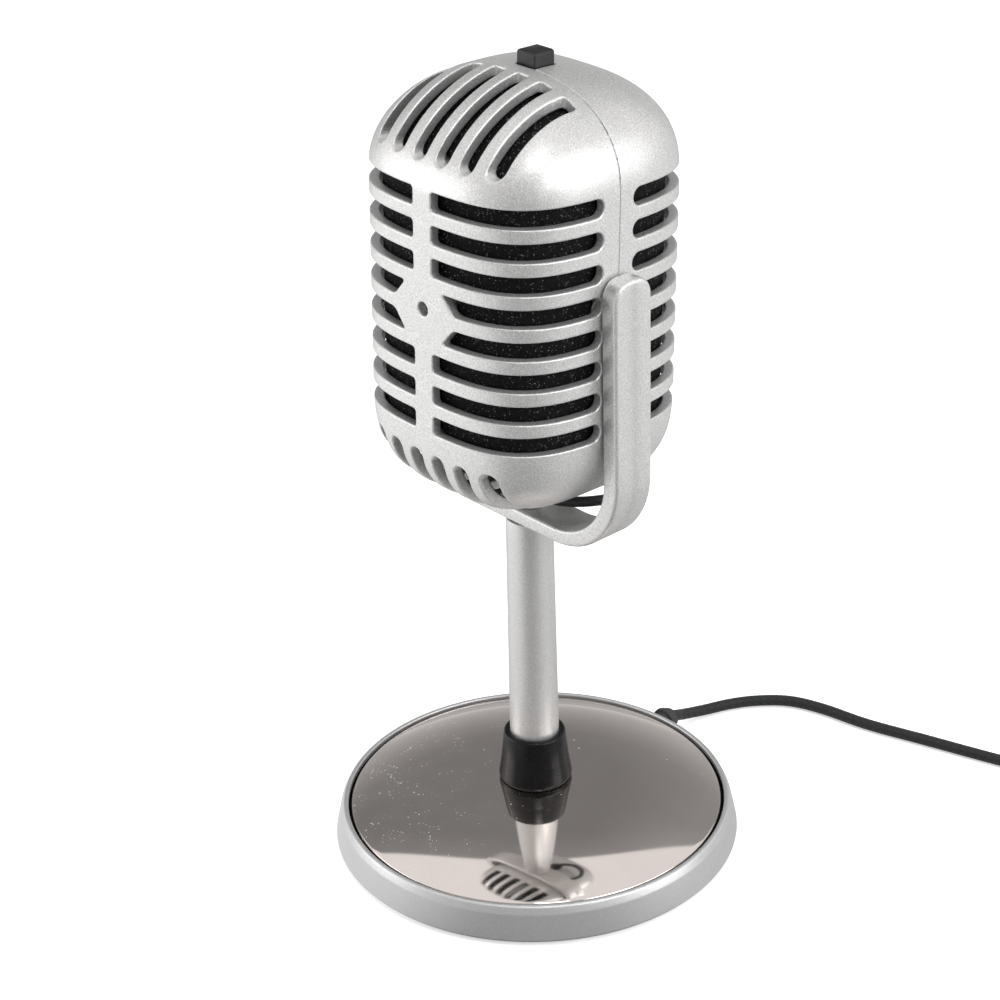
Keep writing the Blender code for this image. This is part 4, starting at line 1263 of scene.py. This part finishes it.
def plug_grip():
    """Strain relief with three ribs, swelling into a flat grip with softened edges."""
    sections = []
    rib_first, rib_pitch, rib_height = 3.2, 2.4, 0.32
    for x in np.linspace(RELIEF_START, RELIEF_END, 46):
        radius = 1.95 + 0.07 * (x - RELIEF_START)
        if 2.6 < x < 9.9:
            wave = math.cos((x - rib_first) * 2 * math.pi / rib_pitch)
            radius += rib_height * max(0.0, wave) ** 0.5
        if x < 2.3:
            radius -= 0.25 * (1 - (x - RELIEF_START) / 0.3)
        sections.append(plug_ring(x, radius, radius, radius - 0.02))
    neck = 2.6
    for k in range(1, 13):
        t = k / 12
        ease = t * t * (3 - 2 * t)
        half_y = neck + (GRIP_Y - neck) * ease
        half_z = neck + (GRIP_Z - neck) * ease
        sections.append(plug_ring(RELIEF_END + 4.2 * t, half_y, half_z, 2.5 - 0.9 * ease))
    for x in (18, 22, 26, 30, 34):
        sections.append(plug_ring(x, GRIP_Y, GRIP_Z, GRIP_CORNER))
    edge, end = 0.8, 37.5
    for k in range(7):
        angle = math.pi / 2 * k / 6
        inset = edge * (1 - math.cos(angle))
        x = end - edge + edge * math.sin(angle)
        sections.append(plug_ring(x, GRIP_Y - inset, GRIP_Z - inset, GRIP_CORNER))
    # Socket round the metal shell.
    sections += [plug_ring(x, 6.15, 2.4, 0.3) for x in (end, 26.0)]
    obj = outward(add_mesh("plug_grip", *loft(sections), sharp=50))
    obj.data.transform(PLUG)
    finish(obj, "base", "plug_plastic", "plug_body")


def plug_sleeve():
    """Metal shell of folded sheet with two square windows above and below."""
    half_y, half_z, sheet = 6.0, 2.25, 0.3
    start, lip, end = 26.2, 55.35, 55.5
    sections = [
        plug_ring(x, half_y - inset, half_z - inset, 0.45)
        for x, inset in ((start, 0.0), (lip, 0.0), (end, 0.12))
    ]
    sections += [
        plug_ring(x, half_y - sheet + outset, half_z - sheet + outset, 0.2)
        for x, outset in ((end, 0.05), (lip, 0.0), (start, 0.0))
    ]
    sleeve = outward(add_mesh("plug_sleeve", *loft(sections, closed=True)))
    windows = add_boxes("windows", (2.3, 2.2, 9), [(46.5, -2.6, 0), (46.5, 2.6, 0)])
    cut = sleeve.modifiers.new("windows", "BOOLEAN")
    cut.object, cut.operation, cut.solver = windows, "DIFFERENCE", "EXACT"
    graph = bpy.context.evaluated_depsgraph_get()
    mesh = bpy.data.meshes.new_from_object(sleeve.evaluated_get(graph))
    sleeve.modifiers.clear()
    sleeve.data = mesh
    bpy.data.objects.remove(windows, do_unlink=True)
    mesh.shade_smooth()
    mesh.set_sharp_from_angle(angle=math.radians(35))
    mesh.transform(PLUG)
    finish(sleeve, "base", "plug_metal", "plug_shell")


def plug_tongue():
    """Tongue with four contact strips let into its top."""
    tongue = add_boxes(
        "plug_tongue", (30.0, 11.2, 1.8), [(40.4, 0, -0.95)], bevel=0.15, segments=3
    )
    tongue.data.shade_smooth()
    tongue.data.set_sharp_from_angle(angle=math.radians(50))
    tongue.data.transform(PLUG)
    finish(tongue, "base", "white_nylon", "plug_insert")
    for k, y in enumerate((-3.6, -1.2, 1.2, 3.6), 1):
        contact = add_boxes(
            f"plug_contact_{k}", (8.0, 1.1, 0.14), [(50.6, y, 0.0)], bevel=0.04, segments=2
        )
        contact.data.transform(PLUG)
        finish(contact, "base", "brass_bush")


# ------------------------------------------------------------ floor, light, camera

# Level directions as the camera sees them.
TOWARD, AWAY = (0.741, -0.671, 0.0), (-0.741, 0.671, 0.0)
LEFTWARD = (-0.671, -0.741, 0.0)


def floor_look():
    """White to the camera; what the object sees is a painted glow standing in for the studio's light,
    dim nearby as a painted shadow of the object and brighter to left and right.
    """
    m = Look("floor_white")
    m.surface(
        Base_Color=(0.92, 0.92, 0.92, 1.0), Roughness=0.9, Specular_IOR_Level=0.1,
        Emission_Color=(1, 1, 1, 1), Emission_Strength=0.45,
    )
    base, left, right, back = 0.385, 0.84, 0.44, 0.08  # painted glow, and what each side adds
    place = m.node("SeparateXYZ", Vector=m.node("NewGeometry").outputs["Position"]).outputs
    flat = m.node("CombineXYZ", X=place["X"], Y=place["Y"], Z=0.0).outputs[0]
    unit = m.node("VectorMath", _operation="NORMALIZE", i0=flat).outputs[0]
    toward, leftward = m.dot(unit, TOWARD), m.dot(unit, LEFTWARD)
    level = base
    for value, low, high, amount in (
        (leftward, 0.30, 0.95, left), (leftward, -0.25, -0.95, right), (toward, 0.1, -0.9, back)
    ):
        share = m.spread(value, low, high, smooth=True)
        level = m.calc("ADD", level, m.calc("MULTIPLY", share, amount))
    # Painted shadow: the glow dims near the object, where its shadow falls, and fades far away.
    reach = m.node("VectorMath", _operation="LENGTH", i0=flat).outputs["Value"]
    near = m.spread(reach, low=0.05, high=0.24, to_low=0.74, smooth=True)
    level = m.calc("MULTIPLY", level, near)
    far = m.spread(reach, low=0.5, high=1.8, to_low=1.0, to_high=0.70)
    level = m.calc("MULTIPLY", level, far)
    seen = m.node("Emission", Strength=level, Color=(1.0, 0.995, 0.99, 1.0)).outputs[0]
    by_camera = m.node("LightPath").outputs["Is Camera Ray"]
    m.output(m.node("MixShader", i0=by_camera, i1=seen, i2=m.shader.outputs["BSDF"]))
    return m.mat


def build_floor():
    bm = bmesh.new()
    bmesh.ops.create_grid(bm, x_segments=1, y_segments=1, size=6.0)
    floor = add_bmesh("floor", bm)
    floor.location = (0, 0, -0.0002)
    floor.data.materials.append(floor_look())


def build_lights():
    # Name, place and height aimed at on the axis in metres, width, height, power in watts.
    for name, place, aim_z, width, height, power in (
        ("soft_left", (-0.66, -0.66, 0.24), 0.12, 0.60, 0.55, 1.8),
        ("soft_right", (0.80, 0.42, 0.34), 0.12, 0.50, 0.65, 2.3),
        ("soft_side", (0.70, 0.02, 0.52), 0.14, 0.34, 0.34, 1.5),
        ("soft_top", (-0.05, 0.05, 0.95), 0.1, 0.8, 0.8, 4.2),
        ("soft_high_front", (0.34, -0.20, 0.80), 0.16, 0.20, 0.20, 0.85),
    ):
        light = bpy.data.lights.new(name, "AREA")
        light.shape = "RECTANGLE"
        light.size, light.size_y = width, height
        light.energy = power
        obj = place_object(name, light)
        obj.location = place
        aim = Vector((0, 0, aim_z)) - Vector(place)
        obj.rotation_euler = aim.to_track_quat("-Z", "Y").to_euler()
    # The polished plate shows a plain ceiling instead of the top light.
    SCENE.objects["soft_top"].visible_glossy = False


def build_world():
    """Glossy rays see a dim backdrop behind the object and pale walls above and around it."""
    world = bpy.data.worlds.new("studio")
    SCENE.world = world
    g = Graph(world)
    coord = g.node("TexCoord").outputs["Generated"]
    height = g.node("SeparateXYZ", Vector=coord).outputs["Z"]
    away, leftward = g.dot(coord, AWAY), g.dot(coord, LEFTWARD)

    # Backdrop: brightness against height, with a glow to the right and near the upper edge.
    ramp = g.node("ValToRGB", Fac=height)
    stops = [
        (0.0, 0.66), (0.08, 0.46), (0.15, 0.40), (0.285, 0.295),
        (0.40, 0.225), (0.5, 0.208), (1.0, 0.205),
    ]
    elements = ramp.color_ramp.elements
    while len(elements) < len(stops):
        elements.new(0.5)
    for element, (position, value) in zip(elements, stops):
        element.position = position
        element.color = (value, value * 0.995, value * 0.99, 1)
    glow = g.node(
        "Math", _operation="ADD",
        i0=g.spread(leftward, low=-0.10, high=-0.42, to_high=0.075),
        i1=g.spread(away, low=0.66, high=0.52, to_high=0.055),
    ).outputs[0]
    glow = g.node("CombineXYZ", X=glow, Y=glow, Z=glow).outputs[0]
    backdrop = g.node("VectorMath", _operation="ADD", i0=ramp.outputs["Color"], i1=glow)

    # The backdrop ends where the direction away falls below this limit, bowed to the sides.
    edge_at, edge_bow = 0.508, 0.17
    square = g.node("Math", _operation="MULTIPLY", i0=leftward, i1=leftward).outputs[0]
    limit = g.node("Math", _operation="MULTIPLY_ADD", i0=square, i1=edge_bow, i2=edge_at).outputs[0]
    edge = g.node("Math", _operation="SUBTRACT", i0=limit, i1=away).outputs[0]
    beyond = g.spread(edge, low=-0.006, high=0.006)

    # Walls: a little brighter to the left, and darker on the camera's side.
    level = g.spread(leftward, low=-0.6, high=0.7, to_low=0.82, to_high=0.87)
    dip = g.spread(away, low=-0.85, high=-0.15, to_low=0.50)
    level = g.node("Math", _operation="MULTIPLY", i0=level, i1=dip).outputs[0]
    wall = g.node("VectorMath", _operation="SCALE", i0=(1.0, 0.985, 0.975), Scale=level)

    shown = g.mix(beyond, backdrop.outputs[0], wall.outputs[0])
    background = g.feed(g.tree.nodes["Background"], Color=shown)
    plain = g.node("Background", Color=(1, 1, 1, 1), Strength=0.50)
    glossy = g.node("LightPath").outputs["Is Glossy Ray"]
    mixer = g.node("MixShader", i0=glossy, i1=plain.outputs[0], i2=background.outputs[0])
    g.feed(g.tree.nodes["World Output"], Surface=mixer.outputs[0])


def build_camera():
    # Angles in radians, lengths in mm; the azimuth turns from -Y towards +X.
    azimuth, distance, height, aim_z, roll = 0.8345, 495.19, 339.25, 82.21, -0.0243
    place = Vector((distance * math.sin(azimuth), -distance * math.cos(azimuth), height))
    forward = (Vector((0, 0, aim_z)) - place).normalized()
    level = forward.cross(Vector((0, 0, 1))).normalized()
    upright = level.cross(forward)
    right = level * math.cos(roll) + upright * math.sin(roll)
    up = upright * math.cos(roll) - level * math.sin(roll)
    data = bpy.data.cameras.new("camera")
    camera = place_object("camera", data)
    turn = Matrix((right, up, -forward)).transposed().to_4x4()
    camera.matrix_world = Matrix.Translation(place * MM) @ turn
    data.sensor_width = 36
    data.lens = 95.45
    data.shift_x = -0.0290
    data.clip_start, data.clip_end = 0.01, 20
    SCENE.camera = camera


head_shells()
foam_liners()
lead_grommet()
push_button()
fork_strip()
hollow_bolt()
base_ring()
mirror_disc()
underside_pad()
cable_bush()
stem_foot()
stem_sleeve()
head_wire()
braided_cable()
plug_grip()
plug_sleeve()
plug_tongue()
build_floor()
build_lights()
build_world()
SCENE.view_settings.view_transform = "Standard"
build_camera()

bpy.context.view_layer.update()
